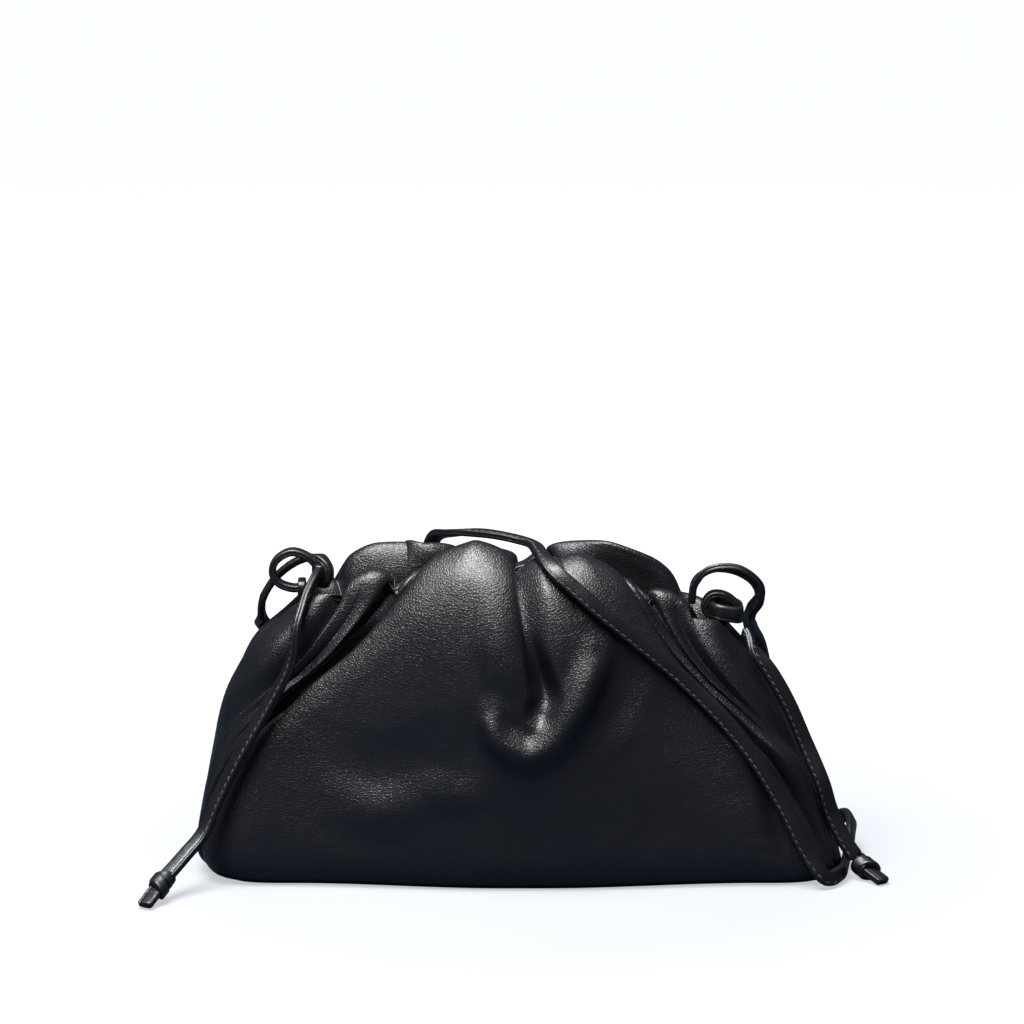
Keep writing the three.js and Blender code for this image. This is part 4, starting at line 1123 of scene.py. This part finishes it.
RIGHT_TURN = [
    ((-0.45, -1.2, 0.55), (-0.3, -1, 0)),
    ((0.3, -1.28, 0.4), (0, -1, 0)),
    ((0.85, -1.1, 0.27), (0.3, -1, 0)),
    ((1.02, 0, 0.25), (1, 0, 0)),
    ((0.85, 1.1, 0.33), (0.3, 1, 0)),
    ((0.3, 1.28, 0.47), (0, 1, 0)),
    ((-0.45, 1.2, 0.62), (-0.3, 1, 0)),
    ((-0.8, 0, 0.55), (-1, 0, 0)),
]


def left_knot():
    parts = [lace_piece("left_knot", knot_rows(left_heart, LEFT_LOOP), sewn=1)[0]]
    parts.append(lace_piece("left_knot", knot_rows(left_heart, LEFT_WRAP))[0])
    for turn in LEFT_HEART_TURNS:
        parts.append(
            lace_piece(
                "left_knot", knot_rows(left_heart, turn), closed=True, step=KNOT_STEP, section=PLAIN_SECTION,
            )[0]
        )
    return join_pieces("left_knot", parts)


def right_knot():
    parts = [lace_piece("right_knot", knot_rows(right_hole, RIGHT_RING), closed=True)[0]]
    parts.append(lace_piece("right_knot", knot_rows(right_hole, RIGHT_TURN), closed=True)[0])
    return join_pieces("right_knot", parts)


def stitches(name, route, sewn, flip=None):
    """The thread's stitches on both flat sides of a lace: one stitch, copied along the sewn edge."""
    bpy.ops.mesh.primitive_uv_sphere_add(segments=6, ring_count=5, radius=0.5)
    stitch = bpy.context.object
    shape = np.array([v.co for v in stitch.data.vertices])
    faces = [list(p.vertices) for p in stitch.data.polygons]
    bpy.data.objects.remove(stitch)
    points, along, face, length = route
    wide = unit(np.cross(face, along))
    if flip is not None:
        angle = math.pi * smoothstep(length / length[-1], *flip)
        wide, face = turned(wide, along, angle), turned(face, along, angle)
    marks = np.arange(length[0] + 2 * MM, length[-1] - 1 * MM, STITCH_PITCH)

    def at_marks(rows):
        return np.stack([np.interp(marks, length, rows[:, k]) for k in range(3)], -1)

    middle = at_marks(points)
    way, flat, across = (unit(at_marks(rows)) for rows in (along, face, wide))
    all_points, all_faces = [], []
    for side in (1, -1):
        slant = unit(way + across * STITCH_SLANT * side)
        bottom = middle + across * (sewn * abs(STITCH_LINE[0]) * STRAP_WIDTH / 2) + flat * (
            side * (STITCH_LINE[1] * STRAP_THICKNESS / 2 + STITCH_LIFT)
        )
        cross = np.cross(flat, slant)
        for k in range(len(marks)):
            spots = bottom[k] + shape[:, :1] * cross[k] * THREAD_WIDTH
            spots = spots + shape[:, 1:2] * flat[k] * THREAD_WIDTH
            spots = spots + shape[:, 2:] * slant[k] * STITCH_SHARE * STITCH_PITCH
            all_faces += [[v + len(all_points) * len(shape) for v in f] for f in faces]
            all_points.append(spots)
    mesh = bpy.data.meshes.new(name)
    mesh.from_pydata(np.concatenate(all_points).tolist(), [], all_faces)
    mesh.update()
    piece = bpy.data.objects.new(name, mesh)
    bpy.context.collection.objects.link(piece)
    close_ends(piece)
    return piece


def finish_piece(piece, material, slot, *nodes):
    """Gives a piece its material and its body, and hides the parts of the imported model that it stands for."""
    piece.data.materials.clear()
    piece.data.materials.append(material)
    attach(piece, "root")
    if nodes:
        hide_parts(*nodes)
    return piece


# The shares of the strap's length between which it turns over, behind the bag
STRAP_FLIP = (0.8, 0.85)
# The half-sizes of the left knot's heart, in which its tail starts
LOOP_ROOM = np.array([0.55, 0.8, 0.75]) * STRAP_WIDTH * 0.8

finish_piece(pouch_body(), body_leather, "body_leather", "pouch_body")
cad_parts["mouth_frame"].material_slots[0].material = nickel_plate()

strap, strap_route = lace_piece(
    "lace_strap",
    knot_rows(left_heart, STRAP_START) + [lace_row(row) for row in STRAP_COURSE],
    flip=STRAP_FLIP,
)
finish_piece(strap, lace_leather, "strap_leather", "shoulder_strap")
finish_piece(stitches("strap_stitches", strap_route, -1, STRAP_FLIP), thread_material, "strap_leather")

left_rows = knot_rows(left_heart, LEFT_TAIL_START) + [lace_row(row) for row in LEFT_TAIL_COURSE]
left_tail, left_tail_route = tail_piece(
    "left_lace_tail", left_rows, (left_heart, LOOP_ROOM), (left_stop, 0.8 * STRAP_WIDTH), 1,
)
finish_piece(left_tail, lace_leather, "strap_leather", "left_tail")
finish_piece(stitches("left_tail_stitches", left_tail_route, 1), thread_material, "strap_leather")
right_tail, right_tail_route = tail_piece(
    "right_lace_tail",
    [lace_row(row) for row in RIGHT_TAIL_COURSE],
    None,
    (right_stop, 0.8 * STRAP_WIDTH),
    -1,
)
finish_piece(right_tail, lace_leather, "strap_leather", "right_tail")
finish_piece(stitches("right_tail_stitches", right_tail_route, -1), thread_material, "strap_leather")

finish_piece(left_knot(), lace_leather, "strap_leather", "left_strap_knot")
finish_piece(right_knot(), lace_leather, "strap_leather", "right_strap_knot")
finish_piece(
    stopper_knot("left_end_knot", left_stop, left_tip), lace_leather, "strap_leather", "left_tail_knot",
)
finish_piece(
    stopper_knot("right_end_knot", right_stop, right_tip), lace_leather, "strap_leather", "right_tail_knot",
)
finish_piece(belt_loop("left_belt_loop", left_hole), lace_leather, "strap_leather", "left_strap_tab")
finish_piece(belt_loop("right_belt_loop", right_hole), lace_leather, "strap_leather", "right_strap_tab")


# The photograph's camera: its height above the floor in degrees, its distance from the point that it looks
# at, that point, and its lens in millimetres
CAMERA_RISE = math.radians(12)
CAMERA_DISTANCE = 1.4
CAMERA_AIM = (-0.0034, 0, 0.1237)
CAMERA_LENS = 144.83


def studio():
    """A white floor that glows with painted light and shows reflections a painted darker floor, a dim room, a
    wide soft light overhead and the photograph's camera.
    """
    bpy.ops.mesh.primitive_plane_add(size=16, location=(0, 0, -0.05 * MM))
    floor = bpy.context.object
    floor.name = "floor"
    material, tree = new_material("white studio floor with painted glow")
    place = add_node(tree, "ShaderNodeTexCoord").outputs["Object"]
    grain = add_node(tree, "ShaderNodeTexNoise", {"Vector": place, "Scale": 3.0, "Detail": 2.0})
    colour = add_node(
        tree,
        "ShaderNodeMix",
        {"Factor": grain.outputs["Fac"], "A": paint("#62656b"), "B": paint("#65686c")},
        data_type="RGBA",
    )
    sheet = add_node(tree, "ShaderNodeBsdfDiffuse", {"Color": colour.outputs["Result"]})
    # Painted light: to the camera the floor glows white with an emission of #f8fafd. The glow is 0.55 of full
    # strength near the bag and full from 0.36 m out, standing in for the light on the floor
    away = add_node(tree, "ShaderNodeVectorMath", {0: place}, operation="LENGTH")
    spread = add_node(
        tree,
        "ShaderNodeMapRange",
        {"Value": away.outputs["Value"], "From Min": 0.1, "From Max": 0.36, "To Min": 0.55, "To Max": 1.0},
    )
    painted_floor_glow = add_node(tree, "ShaderNodeEmission", {"Color": paint("#f8fafd"), "Strength": spread.outputs[0]})
    seen = add_node(tree, "ShaderNodeAddShader", {0: sheet.outputs[0], 1: painted_floor_glow.outputs[0]})
    # Painted shade in reflections: every ray but the camera's sees the floor as a dark bluish diffuse, #343c4b,
    # so the leather reflects and takes bounce light from a darker floor than the one in view
    painted_dark_reflected_floor = add_node(tree, "ShaderNodeBsdfDiffuse", {"Color": paint("#343c4b")})
    light_path = add_node(tree, "ShaderNodeLightPath")
    shader = add_node(
        tree,
        "ShaderNodeMixShader",
        {0: light_path.outputs["Is Camera Ray"], 1: painted_dark_reflected_floor.outputs[0], 2: seen.outputs[0]},
    )
    add_node(tree, "ShaderNodeOutputMaterial", {"Surface": shader.outputs[0]})
    floor.data.materials.append(material)

    world = bpy.data.worlds.new("dim room")
    world.use_nodes = True
    world.node_tree.nodes.clear()
    air = add_node(world.node_tree, "ShaderNodeBackground", {"Color": paint("#dfe6f2"), "Strength": 0.09})
    add_node(world.node_tree, "ShaderNodeOutputWorld", {"Surface": air.outputs[0]})
    bpy.context.scene.world = world

    def soft_light(name, kind, at, aim, power, **settings):
        light = bpy.data.lights.new(name, kind)
        light.energy = power
        for key, value in settings.items():
            setattr(light, key, value)
        lamp = bpy.data.objects.new(name, light)
        bpy.context.collection.objects.link(lamp)
        lamp.location = at
        way = unit(np.array(aim, float) - np.array(at, float))
        pitch = math.acos(np.clip(-way[2], -1, 1))
        lamp.rotation_euler = (pitch, 0, math.atan2(-way[0], way[1]) if abs(way[2]) < 0.9999 else 0)
        return lamp

    soft_light(
        "overhead softbox",
        "AREA",
        at=(-0.17, -0.26, 0.93),
        aim=(-0.01, 0, 0.06),
        power=34,
        shape="RECTANGLE",
        size=0.5,
        size_y=0.66,
    )
    soft_light("room light", "SUN", at=(0, 0, 3), aim=(0, 0.01, 0), power=0.45, angle=math.radians(70))

    lens = bpy.data.cameras.new("photo camera")
    lens.lens = CAMERA_LENS
    lens.sensor_width = 36
    lens.clip_start = 0.05
    lens.clip_end = 100
    camera = bpy.data.objects.new("photo camera", lens)
    bpy.context.collection.objects.link(camera)
    camera.location = (
        CAMERA_AIM[0],
        -CAMERA_DISTANCE * math.cos(CAMERA_RISE),
        CAMERA_AIM[2] + CAMERA_DISTANCE * math.sin(CAMERA_RISE),
    )
    camera.rotation_euler = (math.pi / 2 - CAMERA_RISE, 0, 0)
    bpy.context.scene.camera = camera
    view = bpy.context.scene.view_settings
    view.view_transform = "Standard"
    view.look = "None"
    view.exposure = 0
    view.gamma = 1


studio()
